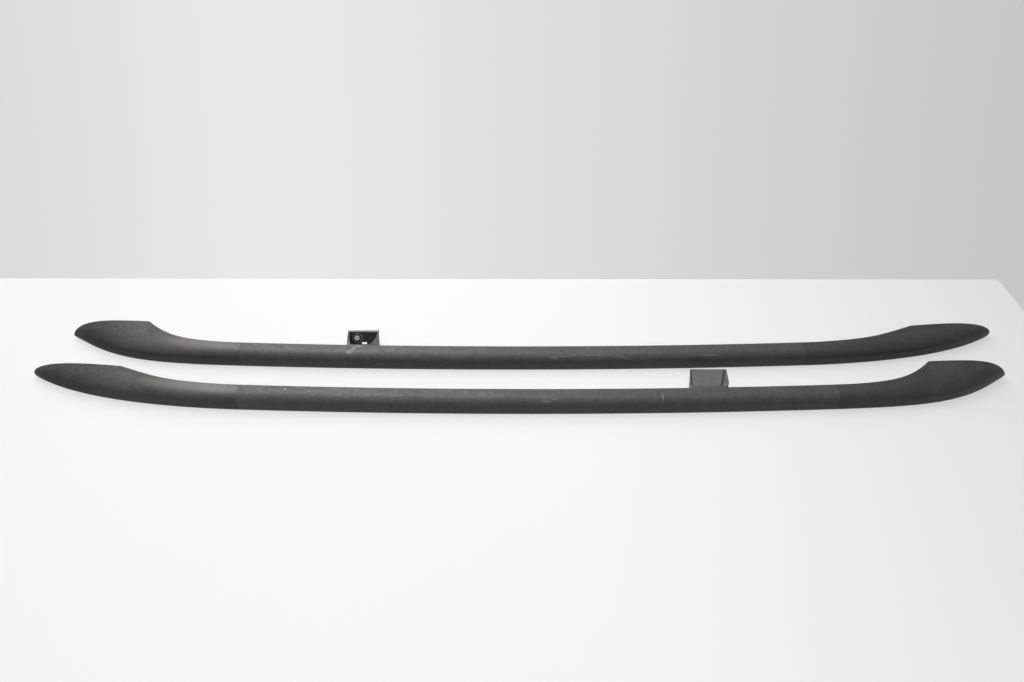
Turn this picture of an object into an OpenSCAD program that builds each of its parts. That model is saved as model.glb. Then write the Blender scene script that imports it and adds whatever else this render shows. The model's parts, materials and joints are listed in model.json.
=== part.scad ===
// A pair of roof side rails, lying on their sides as they do on a bench.
// X runs along the rails, +Y points from the ridge to the roof side, +Z is up from the bench.
// Each rail is drawn about its own middle: its two tips lie on the line y = 0, its ridge at negative y.
// Foot pieces are drawn for a foot at positive x and mirrored for the foot at the other end.

/* [Pair] */
// Length of one rail from tip to tip
rail_length = 1800; // [1500:10:2100]
// Distance between the tip lines of the two rails
pair_spacing = 123; // [120:1:200]
// Distance that the far rail lies further along than the near rail
pair_stagger = 28; // [0:1:100]
// Turn of each rail out of the common line, in degrees
rail_turn = 0.17; // [0:0.01:0.3]

/* [Bar] */
// Height of the bar's section, from ridge to underside
bar_depth = 39.5; // [36:0.5:44]
// Width of the bar's section
bar_width = 36; // [33:0.5:40]
// Corner radius of the bar's section
bar_corner = 11; // [8:0.5:14]
// Radius of the section's crown, between ridge and visible side
bar_crown = 16; // [12:0.5:18]
// Wall thickness of the tube
bar_wall = 2.5; // [2:0.1:3.2]
// Radius of the arch, measured along the ridge
arch_radius = 11600; // [9500:100:16000]
// Height of the ridge above the line through the tips
ridge_height = 110; // [104:1:120]

/* [Steep foot] */
// Length of the cover, from its seam on the bar to its tip
steep_cover_length = 343; // [310:1:380]
// Length of the base, from the corner under the neck to the tip
steep_base_length = 155; // [140:1:170]
// Height of the base's corner above the line through the tips
steep_corner_rise = 3; // [0:0.5:10]
// Angle at which the neck meets the base, in degrees
steep_neck_angle = 44.5; // [38:0.5:50]
// Angle at which the ridge meets the tip, in degrees
steep_tip_angle = 39; // [34:0.5:44]
// How far the leaf outline bulges past its width at the corner
steep_leaf_bulge = 4; // [0:0.5:5]
// Fullness of the leaf outline at the tip
steep_leaf_fullness = 4.3; // [3:0.1:5]
// Squareness of the leaf outline at the tip
steep_leaf_squareness = 1.55; // [1.3:0.05:2.2]
// Pull of the ridge curve at the bar and at the tip, as shares of the cover
steep_ridge_pull = [0.525, 0.352]; // [0.1:0.001:0.7]
// Pull of the neck curve at the bar and at the base, as shares of the neck
steep_neck_pull = [0.51, 0.42]; // [0.3:0.005:0.6]

/* [Shallow foot] */
// Length of the cover, from its seam on the bar to its tip
shallow_cover_length = 395; // [360:1:430]
// Length of the base, from the corner under the neck to the tip
shallow_base_length = 174; // [160:1:190]
// Height of the base's corner above the line through the tips
shallow_corner_rise = 20; // [14:0.5:24]
// Angle at which the neck meets the base, in degrees
shallow_neck_angle = 22.5; // [18:0.5:28]
// Angle at which the ridge meets the tip, in degrees
shallow_tip_angle = 46; // [38:0.5:50]
// How far the leaf outline bulges past its width at the corner
shallow_leaf_bulge = 0; // [0:0.5:4]
// Fullness of the leaf outline at the tip
shallow_leaf_fullness = 3.1; // [2.5:0.1:4]
// Squareness of the leaf outline at the tip
shallow_leaf_squareness = 2.1; // [1.6:0.05:2.5]
// Pull of the ridge curve at the bar and at the tip, as shares of the cover
shallow_ridge_pull = [0.655, 0.1]; // [0.1:0.005:0.7]
// Pull of the neck curve at the bar and at the base, as shares of the neck
shallow_neck_pull = [0.585, 0.405]; // [0.3:0.005:0.6]

/* [Foot covers] */
// Width of the foot at its base corner
foot_width = 41; // [38:0.5:46]
// Height of the tip above the bench
tip_height = 5; // [3:0.5:8]
// Radius of the crown at the base corner
foot_crown = 20; // [16:0.5:22]
// Wall thickness of the moulded covers
cover_wall = 2.5; // [2:0.1:3]
// Solid length of the cover behind its tip
tip_solid = 14; // [12:1:20]
// Gap at the seam between bar and cover
seam_gap = 0.5; // [0.3:0.1:1]
// Radius of the cover's edge round the base
rim_radius = 1; // [0.8:0.1:1.5]

/* [Foot brackets] */
// Length of the spigot inside the bar
spigot_length = 62; // [50:1:80]
// Length of the spigot inside the cover that centres the seam
spigot_lip = 8; // [5:1:12]
// Length of the cast neck past the end of the bar
neck_reach = 34; // [26:1:40]
// How much thinner the cast neck is than the spigot, all round
neck_inset = 1.5; // [1:0.1:2.5]
// Clearance of the spigot all round
spigot_clearance = 0.3; // [0.2:0.05:0.6]
// Wall thickness of the hollow spigot
spigot_wall = 4; // [3.5:0.5:6]
// Width of the cast rib from the neck to the foot plate
rib_width = 14; // [10:0.5:18]
// Distance of the rib from the inside of the cover
rib_clearance = 5; // [4.5:0.5:6]
// Thickness of the foot plate
plate_thickness = 6; // [4:0.5:8]
// Length of the foot plate
plate_length = 104; // [95:1:108]
// Clearance of the foot plate and gasket from the cover's wall
plate_clearance = 0.8; // [0.6:0.1:1]
// Distance of the tapped hole from the base's corner
tapping_offset = 62; // [50:1:72]
// Radius of the tapped hole
tapping_radius = 3.4; // [2.5:0.1:4.2]
// Depth of the tapped hole
tapping_depth = 20; // [15:0.5:21]
// Radius of the boss round the tapped hole
boss_radius = 9; // [8:0.5:10]
// Height of the boss above the foot plate
boss_height = 18; // [17:0.5:20]
// Thickness of the foot gasket
gasket_thickness = 2.5; // [2:0.1:3]
// How far the gasket stands proud of the cover's rim
gasket_proud = 0.5; // [0.2:0.1:1]
// Radius of the gasket's hole round the tapped hole
gasket_hole_radius = 7; // [6:0.1:9]

/* [Screws] */
// Shank radius of the small screws
screw_radius = 2.2; // [1.8:0.1:2.5]
// Head radius of the small screws
screw_head_radius = 4.2; // [3.8:0.1:4.8]
// Head height of the small screws
screw_head_height = 2.4; // [2:0.1:3]
// Clearance of a screw in its hole
screw_clearance = 0.1; // [0.05:0.05:0.2]
// Distance of the nearer bar screw from the end of the bar
bar_screw_offset = 16; // [12:1:20]
// Distance between the two bar screws of a foot
bar_screw_pitch = 28; // [20:1:30]
// Length of the bar screws under the head
bar_screw_length = 11; // [9:0.5:14]
// Length of the saddle screws under the head
saddle_screw_length = 12; // [9:0.5:14]

/* [Mid support] */
// Distance of the mid support from the middle of the rail
mid_distance = 334; // [280:1:400]
// Length of the mid support along the rail, at the roof
mid_length = 58.5; // [56:0.5:66]
// How much longer it is at the bar than at the roof
mid_taper = 1.5; // [0:0.5:4]
// Lean of the mid support toward the steep foot
mid_lean = 4.5; // [2:0.5:6]
// Bulge of its side toward the steep foot
mid_flare = 0.5; // [0:0.5:1]
// Height from the bar's underside to the roof on the visible side
mid_rise = 50; // [48:0.5:53]
// Distance of the mid support from the bench
mid_bottom = 2.5; // [2:0.5:4]
// Width of the mid support
mid_width = 28.5; // [28:0.5:30]
// Slope of the mid support's base across the rail, in degrees
mid_slope = 38; // [37:0.5:39]
// Wall thickness of the mid support
mid_wall = 3; // [2.5:0.1:3.2]
// Thickness of its base plate
mid_plate = 4; // [3.5:0.1:4.5]
// Thickness of its saddle against the bar
saddle_thickness = 5; // [4.5:0.1:6]
// Reach of the saddle's lips round the bar's corners
saddle_lip = 5; // [4.5:0.5:6]
// Gap between the saddle and the bar
saddle_gap = 0.2; // [0.1:0.05:0.4]
// Width of the wall toward the steep foot, at the bar
steep_gusset = 6; // [4:0.5:7]
// Width of the curved gusset toward the shallow foot, at the bar
shallow_gusset = 21; // [18:0.5:21]
// How late the curved gusset widens on its way to the bar
gusset_curve = 2.5; // [2.5:0.1:3.5]
// Offset of the roof bolt toward the steep foot
bolt_offset = 10.5; // [9.5:0.5:11.5]
// Height of the bolt's seat above the bench
bolt_seat_height = 19.4; // [19:0.1:19.8]
// Thread radius of the roof bolt
bolt_radius = 3; // [2.5:0.1:3.4]
// Radius of the bolt's shoulder, which passes through plate and pad
bolt_shoulder = 3.8; // [3.6:0.1:4]
// Length of the roof bolt's thread past the pad
bolt_reach = 14; // [10:0.5:15]
// Width across flats of the bolt's head
bolt_flats = 9; // [8:0.5:9.5]
// Height of the bolt's hexagon
bolt_head_height = 4; // [3.5:0.5:4.5]
// Radius of the bolt's flange
bolt_flange_radius = 5.6; // [5.5:0.1:6]
// Thickness of the bolt's flange
bolt_flange_thickness = 1; // [0.8:0.1:1.2]
// Clearance of the bolt in its holes
bolt_clearance = 0.4; // [0.2:0.1:0.6]
// Outer radius of the washer
washer_radius = 7.2; // [6.9:0.1:7.4]
// Thickness of the washer
washer_thickness = 1.2; // [1:0.1:1.5]
// Inner radius of the ring moulded round the washer
ring_inner = 8.2; // [7.8:0.1:8.4]
// Outer radius of the ring
ring_outer = 9.4; // [9.2:0.1:9.6]
// Height of the ring
ring_height = 1.8; // [1:0.1:2]
// Length of the slot beside the bolt
slot_length = 10; // [8:0.5:11]
// Height of the slot beside the bolt
slot_height = 6.5; // [5:0.5:7]
// Distance of the slot's centre from the bolt along the rail
slot_offset = 12.8; // [12.6:0.1:14]
// Distance of the slot's centre below the bolt on the plate
slot_drop = 11; // [10.5:0.1:11.5]
// Thickness of the rubber pad under the base plate
pad_thickness = 1.5; // [1:0.1:2]
// Inset of the pad from the base plate's edge
pad_inset = 1.2; // [0.8:0.1:2]
// Distance of the saddle's screws from the middle of the saddle
saddle_screw_offset = 7; // [6:0.5:7]

/* [Mid cap] */
// Thickness of the cap
cap_thickness = 2.2; // [1.8:0.1:2.2]
// Gap round the cap
cap_gap = 0.3; // [0.2:0.1:0.5]
// Width of the groove between the cap's face and its cheek
cap_groove = 2; // [1:0.1:2.5]
// Depth of the groove
groove_depth = 1.4; // [1:0.1:1.5]
// Distance of the groove past the support's side, at the roof
groove_roof = 5.8; // [5:0.1:6]
// Distance of the groove inside the support's side, at the bar
groove_bar = 6.3; // [5:0.1:7]
// How far the cap's cheek stands out past the support's side
cheek_reach = 8; // [7.5:0.5:9]
// How much the cheek draws in at the bar
cheek_draw = 3; // [2:0.5:3.5]
// Depth of the cheek below the cap
cheek_depth = 16; // [10:1:18]
// Reach of the cap past the base plate, against the roof
cap_reach = 1; // [0.5:0.1:1.5]
// Bevel of the cap's edge at the roof
cap_bevel = 0.8; // [0.5:0.1:1.2]
// Width of the rim left beside the cap toward the shallow foot
cap_rim = 1.5; // [1.2:0.1:2]
// Width of the cap's snap tongues
tongue_width = 9; // [7:0.5:10]
// Depth of the cap's snap tongues
tongue_depth = 5; // [4:0.5:5.5]
// Thickness of the cap's snap tongues
tongue_thickness = 1.6; // [1.2:0.1:2]

/* [Hidden] */
half = rail_length / 2;
STEEP = [steep_cover_length, steep_base_length, steep_corner_rise, steep_neck_angle, steep_tip_angle,
         steep_leaf_bulge, steep_leaf_fullness, steep_leaf_squareness, steep_ridge_pull, steep_neck_pull];
SHALLOW = [shallow_cover_length, shallow_base_length, shallow_corner_rise, shallow_neck_angle,
           shallow_tip_angle, shallow_leaf_bulge, shallow_leaf_fullness, shallow_leaf_squareness,
           shallow_ridge_pull, shallow_neck_pull];
// Stations along the neck, along the open leaf and over its solid tip
NECK_STEPS = 14;
LEAF_STEPS = 10;
TIP_STEPS = 6;
// Segments of one rounded corner, points of one section
ARC_STEPS = 5;
RING = 4 * (ARC_STEPS + 1);
LAST = NECK_STEPS + 1 + LEAF_STEPS + TIP_STEPS - 1;
INNER_LAST = NECK_STEPS + 1 + LEAF_STEPS;
// The tip's lower edge starts to lift at this share of the base
TIP_LIFT = 1 / 6;
// The seam is cut square to the bar, and the sections turn upright over this length
SEAM_FADE = 40;
INNER_RIM = 0.5;
// Small overlap of cutting and joining bodies
EPS = 0.5;
// Lift of screw heads from the slightly hollow underside of the bar
HEAD_LIFT = 0.02;
ARC_SIDES = ceil(30 * 360 / (2 * asin(half / arch_radius)));
ROUND = 48;
bar_middle = bar_width / 2;
mid_top = mid_bottom + mid_width;

function mix(a, b, t) = a + (b - a) * t;
function clamp(t) = min(1, max(0, t));
function smooth(t) = clamp(t) * clamp(t) * (3 - 2 * clamp(t));

// Side view of the arch: height of the ridge and its slope at a distance x from the middle
function arch(x) = arch_radius - ridge_height - sqrt(arch_radius * arch_radius - x * x);
function arch_slope(x) = x / sqrt(arch_radius * arch_radius - x * x);

// Cubic curves through four points, read at a share t or at a distance x
function curve(p, t) =
    p[0] * pow(1 - t, 3) + p[1] * 3 * t * pow(1 - t, 2) + p[2] * 3 * t * t * (1 - t) + p[3] * pow(t, 3);
function curve_run(p, t) =
    (p[1] - p[0]) * pow(1 - t, 2) + (p[2] - p[1]) * 2 * t * (1 - t) + (p[3] - p[2]) * t * t;
function curve_share(p, x, low = 0, high = 1, left = 26) =
    left == 0 ? (low + high) / 2
    : curve(p, (low + high) / 2)[0] < x ? curve_share(p, x, (low + high) / 2, high, left - 1)
    : curve_share(p, x, low, (low + high) / 2, left - 1);
function curve_height(p, x) = curve(p, curve_share(p, x))[1];
function curve_slope(p, x) = let (run = curve_run(p, curve_share(p, x))) run[1] / run[0];

// Places along a foot
function seam(f) = half - f[0];
function corner(f) = half - f[1];
function base_angle(f) = atan(f[2] / f[1]);
function base_height(f, x) = -f[2] * (half - x) / f[1];
function web_end(f) = corner(f) + cover_wall / cos(f[3]) / (tan(f[3]) - tan(base_angle(f)));

function ridge_curve(f) =
    let (s = seam(f), pull = f[8] * f[0], k = arch_slope(s))
    [[s, arch(s)], [s + pull[0], arch(s) + pull[0] * k],
     [half - pull[1] * cos(f[4]), -pull[1] * sin(f[4])], [half, 0]];
function neck_curve(f) =
    let (s = seam(f), c = corner(f), y = arch(s) + bar_depth, pull = f[9] * (c - s), k = arch_slope(s))
    [[s, y], [s + pull[0], y + pull[0] * k],
     [c - pull[1] * cos(f[3]), -f[2] - pull[1] * sin(f[3])], [c, -f[2]]];

function neck_height(f, x) =
    x < corner(f) ? curve_height(neck_curve(f), x) : -f[2] + (x - corner(f)) * tan(f[3]);
function neck_slope(f, x) = x < corner(f) ? curve_slope(neck_curve(f), x) : tan(f[3]);
function under_height(f, x) = x < corner(f) ? neck_height(f, x) : base_height(f, x);
function ridge_height_at(f, x) = curve_height(ridge_curve(f), x);

// Outline of the leaf in the plan of the base
function leaf_share(f, x) = clamp((half - x) / f[1]);
function leaf_fill(f, x) = pow(1 - pow(1 - leaf_share(f, x), f[6]), 1 / f[7]);
function table_z(f, x) = tip_height * (1 - sqrt(min(1, leaf_share(f, x) / TIP_LIFT)));
function ridge_z(f, x) = mix(tip_height, bar_width, leaf_fill(f, x));
function edge_z(f, x) =
    x < corner(f) ? mix(bar_width, foot_width, smooth((x - seam(f)) / (corner(f) - seam(f))))
    : mix(tip_height, foot_width, leaf_fill(f, x)) + f[5] * leaf_fill(f, x) * pow(1 - leaf_share(f, x), 0.7);
function top_z(y, yr, yb, zr, zb) = mix(zr, zb, (y - yr) / (yb - yr));
function under_radius(f, x) = mix(bar_corner, rim_radius, smooth((x - seam(f)) / (corner(f) - seam(f))));
function lean(f, x) = arch_slope(seam(f)) * (1 - smooth((x - seam(f)) / SEAM_FADE));

function crown_radius(f, x) = mix(bar_crown, foot_crown, smooth((x - seam(f)) / (corner(f) - seam(f))));

// Radii of a section at bench and ridge, at its crown, and at the underside
function radii(f, x, w, high, deep, under) =
    [min(bar_corner - w, 0.4 * high, 0.6 * deep), min(crown_radius(f, x) - w, 0.55 * high, 0.6 * deep), under];

// One section across the cover at x: round the bench side, the ridge, the visible side
function section(x, yr, yb, z0, zr, zb, radii, k) =
    [for (side = [0:3], a = [0:90 / ARC_STEPS:90])
        let (r = radii[side == 0 || side == 3 ? 2 : side - 1],
             y = side == 0 ? yb - r + r * cos(a) : side == 1 ? yr + r - r * sin(a)
                 : side == 2 ? yr + r - r * cos(a) : yb - r + r * sin(a),
             z = side == 0 ? z0 + r - r * sin(a) : side == 1 ? z0 + r - r * cos(a)
                 : top_z(y, yr, yb, zr, zb) - r + r * (side == 2 ? sin(a) : cos(a)))
        [x - k * (y - yr), y, z]];

function outer_ring(f, x) =
    let (yr = ridge_height_at(f, x), yb = under_height(f, x), z0 = table_z(f, x), zr = ridge_z(f, x),
         rb = min(under_radius(f, x), 0.2 * (yb - yr) + bar_corner * clamp((corner(f) - x) / rim_radius)))
    section(x, yr, yb, z0, zr, edge_z(f, x), radii(f, x, 0, zr - z0, yb - yr, rb), lean(f, x));

function inner_ring(f, x) =
    let (w = cover_wall, k = curve_slope(ridge_curve(f), x), n = neck_slope(f, x),
         yr = ridge_height_at(f, x) + w * sqrt(1 + k * k),
         yb = x < web_end(f) - EPS ? neck_height(f, x) - w * sqrt(1 + n * n) : base_height(f, x),
         z0 = table_z(f, x) + w, zr = ridge_z(f, x) - w,
         rb = max(INNER_RIM, under_radius(f, x) - w))
    section(x, yr, yb, z0, zr, edge_z(f, x) - w, radii(f, x, w, zr - z0, yb - yr, rb), lean(f, x));

function stations(f) =
    let (s = seam(f), c = corner(f), e = web_end(f), t = half - tip_solid)
    [for (i = [0:NECK_STEPS]) mix(s, c, i / NECK_STEPS),
     e,
     for (i = [1:LEAF_STEPS]) mix(e, t, i / LEAF_STEPS),
     for (i = [1:TIP_STEPS - 1]) half - tip_solid * pow(1 - i / TIP_STEPS, 2)];

// Places in the list of points: outer sections, inner sections, then the tip
function out(i, j) = i * RING + j % RING;
function inn(i, j) = (LAST + 1) * RING + out(i, j);
TIP = (LAST + 1) * RING + (INNER_LAST + 1) * RING;

// The moulded cover as one closed shell, open along the base and at the seam
module foot_cover(f) {
    x = stations(f);
    points = [for (i = [0:LAST]) each outer_ring(f, x[i]),
              for (i = [0:INNER_LAST]) each inner_ring(f, x[i]),
              [half, 0, tip_height]];
    c = NECK_STEPS;
    e = INNER_LAST;
    j = RING - 1;
    outer = [for (i = [0:LAST - 1], k = [0:i < c ? j : j - 1])
        each [[out(i, k), out(i, k + 1), out(i + 1, k + 1)], [out(i, k), out(i + 1, k + 1), out(i + 1, k)]]];
    inner = [for (i = [0:e - 1], k = [0:i < c + 1 ? j : j - 1])
        each [[inn(i, k), inn(i + 1, k + 1), inn(i, k + 1)], [inn(i, k), inn(i + 1, k), inn(i + 1, k + 1)]]];
    tip = [for (k = [0:j - 1]) [out(LAST, k), out(LAST, k + 1), TIP]];
    seam_end = [for (k = [0:j])
        each [[out(0, k), inn(0, k), inn(0, k + 1)], [out(0, k), inn(0, k + 1), out(0, k + 1)]]];
    web = [[out(c, 0), inn(c + 1, 0), inn(c + 1, j)], [out(c, 0), inn(c + 1, j), out(c, j)],
           [out(c, 0), out(c + 1, 0), inn(c + 1, 0)], [out(c, j), inn(c + 1, j), out(c + 1, j)]];
    rims = [for (i = [c + 1:e - 1])
        each [[out(i, 0), out(i + 1, 0), inn(i + 1, 0)], [out(i, 0), inn(i + 1, 0), inn(i, 0)],
              [out(i, j), inn(i, j), inn(i + 1, j)], [out(i, j), inn(i + 1, j), out(i + 1, j)]]];
    pocket_end = [[for (k = [0:j]) inn(e, j - k)]];
    join = [[out(e, 0), out(e + 1, 0), inn(e, 0)], [inn(e, 0), out(e + 1, 0), out(e + 1, j)],
            [inn(e, 0), out(e + 1, j), inn(e, j)], [inn(e, j), out(e + 1, j), out(e, j)]];
    sole = [for (i = [e + 1:LAST - 1])
        each [[out(i, 0), out(i + 1, 0), out(i + 1, j)], [out(i, 0), out(i + 1, j), out(i, j)]]];
    last = [[out(LAST, 0), TIP, out(LAST, j)]];
    polyhedron(points, concat(outer, inner, tip, seam_end, web, rims, pocket_end, join, sole, last));
}

// A length of the arch with the bar's section, shrunk by an inset all round
module arch_length(from, to, inset) {
    start = asin(from / arch_radius);
    sweep = asin(to / arch_radius) - start;
    translate([0, arch_radius - ridge_height, 0])
        rotate_extrude(angle = sweep, start = 270 + start, $fn = ARC_SIDES)
            translate([arch_radius - bar_depth + inset, inset])
                rounded_section(bar_depth - 2 * inset, bar_width - 2 * inset, inset);
}

// The bar's section with the underside at x = 0 and its crown at the far top corner
module rounded_section(w, h, inset) {
    r = bar_corner - inset;
    crown = bar_crown - inset;
    polygon([[r, 0], [w - r, 0], [w, r], [w, h - crown], [w - crown, h], [r, h], [0, h - r], [0, r]]);
    for (at = [[r, r], [w - r, r], [r, h - r]])
        translate(at)
            circle(r, $fn = ROUND);
    translate([w - crown, h - crown])
        circle(crown, $fn = ROUND);
}

// A frame on the ridge at x, with Y across the bar toward its underside
module on_arch(x) {
    translate([0, arch_radius - ridge_height, 0])
        rotate([0, 0, asin(x / arch_radius)])
            translate([0, -arch_radius, 0])
                children();
}

// A frame on the underside of the bar at x, with Z into the bar
module under_bar(x) {
    on_arch(x)
        translate([0, bar_depth, bar_middle])
            rotate([90, 0, 0])
                children();
}

module steep_end() children();
module shallow_end() mirror([1, 0, 0]) children();

function bar_screw_places(f) = [for (i = [0:1]) seam(f) - bar_screw_offset - i * bar_screw_pitch];

module bar_screw_holes(f) {
    for (x = bar_screw_places(f))
        under_bar(x)
            translate([0, 0, -EPS])
                cylinder(h = bar_screw_length + 2 * EPS, r = screw_radius + screw_clearance, $fn = ROUND);
}

module bar() {
    color("#3a3b3c")
        difference() {
            arch_length(-seam(SHALLOW) + seam_gap, seam(STEEP) - seam_gap, 0);
            arch_length(-seam(SHALLOW), seam(STEEP), bar_wall);
            steep_end()
                bar_screw_holes(STEEP);
            shallow_end()
                bar_screw_holes(SHALLOW);
            for (i = [-1, 1])
                saddle_screw_frame(i)
                    saddle_hole(saddle_screw_length);
        }
}

module saddle_hole(length) {
    translate([0, 0, -EPS])
        cylinder(h = length + EPS, r = screw_radius + screw_clearance, $fn = ROUND);
}

module screw(length) {
    translate([0, 0, -screw_head_height - HEAD_LIFT])
        cylinder(h = screw_head_height, r = screw_head_radius, $fn = ROUND);
    translate([0, 0, -EPS - HEAD_LIFT])
        cylinder(h = length + EPS, r = screw_radius, $fn = ROUND);
}

module bar_screws() {
    color("#8f9194") {
        for (x = bar_screw_places(STEEP))
            steep_end()
                under_bar(x)
                    screw(bar_screw_length);
        for (x = bar_screw_places(SHALLOW))
            shallow_end()
                under_bar(x)
                    screw(bar_screw_length);
    }
}

// A frame on the base plane at its corner, with X along the base and Z toward the ridge
module on_base(f) {
    translate([corner(f), -f[2], 0])
        rotate([0, 0, base_angle(f)])
            rotate([90, 0, 0])
                children();
}

function base_x(f, s) = corner(f) + s * cos(base_angle(f));
function plate_start(f) = (web_end(f) - corner(f)) / cos(base_angle(f)) + plate_clearance;
function plate_low(f, s) = table_z(f, base_x(f, s)) + cover_wall + plate_clearance;
function plate_high(f, s) =
    let (x = base_x(f, s), y = base_height(f, x), depth = gasket_thickness + plate_thickness)
    top_z(y - depth, ridge_height_at(f, x), y, ridge_z(f, x), edge_z(f, x)) - cover_wall - plate_clearance;

// Outline of plate and gasket: the leaf, inset by the cover's wall
module plate_outline(f) {
    s = [for (i = [0:LEAF_STEPS]) plate_start(f) + plate_length * i / LEAF_STEPS];
    polygon([for (i = [0:LEAF_STEPS]) [s[i], plate_low(f, s[i])],
             for (i = [0:LEAF_STEPS]) [s[LEAF_STEPS - i], plate_high(f, s[LEAF_STEPS - i])]]);
}

function rib_top(f, x) =
    let (k = curve_slope(ridge_curve(f), x))
    ridge_height_at(f, x) + (cover_wall + rib_clearance) * sqrt(1 + k * k);
function rib_foot(f, x) =
    let (n = neck_slope(f, x))
    min(neck_height(f, x) - (cover_wall + rib_clearance) * sqrt(1 + n * n),
        base_height(f, x) - (gasket_thickness - gasket_proud + EPS));

// Side view of the rib, from inside the neck to the end of the plate
module rib_outline(f) {
    from = seam(f) + spigot_lip + EPS;
    to = base_x(f, plate_start(f) + plate_length) - EPS;
    x = [for (i = [0:2 * LEAF_STEPS]) mix(from, to, i / LEAF_STEPS / 2)];
    polygon([for (i = [0:2 * LEAF_STEPS]) [x[i], rib_top(f, x[i])],
             for (i = [0:2 * LEAF_STEPS]) [x[2 * LEAF_STEPS - i], rib_foot(f, x[2 * LEAF_STEPS - i])]]);
}

module foot_bracket(f) {
    s = seam(f);
    recess = gasket_thickness - gasket_proud;
    tight = bar_wall + spigot_clearance;
    color("#a7a9ab")
        difference() {
            union() {
                arch_length(s - spigot_length, s + spigot_lip, tight);
                arch_length(s + spigot_lip - EPS, s + neck_reach, tight + neck_inset);
                translate([0, 0, bar_middle - rib_width / 2])
                    linear_extrude(rib_width)
                        rib_outline(f);
                on_base(f)
                    translate([0, 0, recess])
                        linear_extrude(plate_thickness)
                            plate_outline(f);
                on_base(f)
                    translate([tapping_offset, bar_middle, recess + EPS])
                        cylinder(h = plate_thickness + boss_height - EPS, r = boss_radius, $fn = ROUND);
            }
            arch_length(s - spigot_length - EPS, s - spigot_wall, tight + spigot_wall);
            bar_screw_holes(f);
            on_base(f)
                translate([tapping_offset, bar_middle, recess - EPS])
                    cylinder(h = tapping_depth + EPS, r = tapping_radius, $fn = ROUND);
        }
}

module foot_gasket(f) {
    color("#1d1d1e")
        on_base(f)
            translate([0, 0, -gasket_proud])
                difference() {
                    linear_extrude(gasket_thickness)
                        plate_outline(f);
                    translate([tapping_offset, bar_middle, -EPS])
                        cylinder(h = gasket_thickness + 2 * EPS, r = gasket_hole_radius, $fn = ROUND);
                }
}

// Mid support: Y runs from the bar to the roof, its base slopes across the rail
bar_under = arch(mid_distance) + bar_depth;
roof_y = bar_under + mid_rise;
cap_floor = mid_top - cap_thickness;
saddle_y = bar_under + saddle_thickness;
function base_y(z) = roof_y - (mid_top - z) * tan(mid_slope);
function mid_center(y) = mid_distance - mid_lean * (roof_y - y) / mid_rise;
function mid_half(y) = (mid_length + mid_taper * (roof_y - y) / mid_rise) / 2;
function steep_edge(y) = mid_center(y) + mid_half(y);
function shallow_edge(y) = mid_center(y) - mid_half(y);
flare_y = bar_under + mid_rise / 4;

// Body outline in the side view, and the two hollows cut into it
module mid_outline() {
    polygon([[shallow_edge(bar_under - saddle_lip), bar_under - saddle_lip],
             [steep_edge(bar_under - saddle_lip), bar_under - saddle_lip],
             [steep_edge(flare_y) + mid_flare, flare_y], [steep_edge(roof_y), roof_y],
             [shallow_edge(roof_y), roof_y]]);
}

function pocket_steep(y) =
    steep_edge(y) - mix(mid_wall, steep_gusset, clamp((roof_y - y) / mid_rise));
function pocket_shallow(y) =
    shallow_edge(y) + mix(mid_wall, shallow_gusset, pow(clamp((roof_y - y) / mid_rise), gusset_curve));

module pocket_outline() {
    n = LEAF_STEPS;
    y = [for (i = [0:n]) mix(saddle_y, roof_y + mid_wall, i / n)];
    polygon([for (i = [0:n]) [pocket_steep(y[i]), y[i]],
             for (i = [0:n]) [pocket_shallow(y[n - i]), y[n - i]]]);
}

// The step that takes the cap: only the rim toward the shallow foot stays up beside it
recess_low = bar_under + mid_wall - 1;
module recess_outline() {
    over = mid_length;
    polygon([[steep_edge(roof_y) + over, recess_low], [steep_edge(roof_y) + over, roof_y + mid_wall],
             [shallow_edge(roof_y) + cap_rim, roof_y + mid_wall], [shallow_edge(roof_y) + cap_rim, roof_y],
             [shallow_edge(recess_low) + cap_rim, recess_low]]);
}

// A long bar along X with the given outline in Y and Z
module along_rail(outline) {
    translate([mid_distance - mid_length, 0, 0])
        rotate([90, 0, 90])
            linear_extrude(2 * mid_length)
                polygon(outline);
}

module body_block() {
    intersection() {
        translate([0, 0, mid_bottom])
            linear_extrude(mid_width)
                mid_outline();
        along_rail([[bar_under - 2 * saddle_lip, mid_bottom - 1], [base_y(mid_bottom - 1), mid_bottom - 1],
                    [base_y(mid_top + 1), mid_top + 1], [bar_under - 2 * saddle_lip, mid_top + 1]]);
    }
}

module pocket_block() {
    inner = mid_plate / cos(mid_slope);
    intersection() {
        translate([0, 0, mid_bottom + mid_wall])
            linear_extrude(mid_width)
                pocket_outline();
        along_rail([[bar_under - 2 * saddle_lip, 0], [base_y(0) - inner, 0],
                    [base_y(mid_top + 9) - inner, mid_top + 9], [bar_under - 2 * saddle_lip, mid_top + 9]]);
    }
}

// A frame at the bolt's seat, with Z along the bolt toward its head and Y up the base plate
seat_y = base_y(bolt_seat_height) - mid_plate / cos(mid_slope);
module on_seat() {
    translate([mid_distance + bolt_offset, seat_y, bolt_seat_height])
        rotate([90 - mid_slope, 0, 0])
            children();
}

saddle_x = mid_center(bar_under);

module saddle_screw_frame(i) {
    translate([saddle_x + i * saddle_screw_offset, saddle_y, bar_middle])
        rotate([90, 0, 0])
            children();
}

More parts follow.
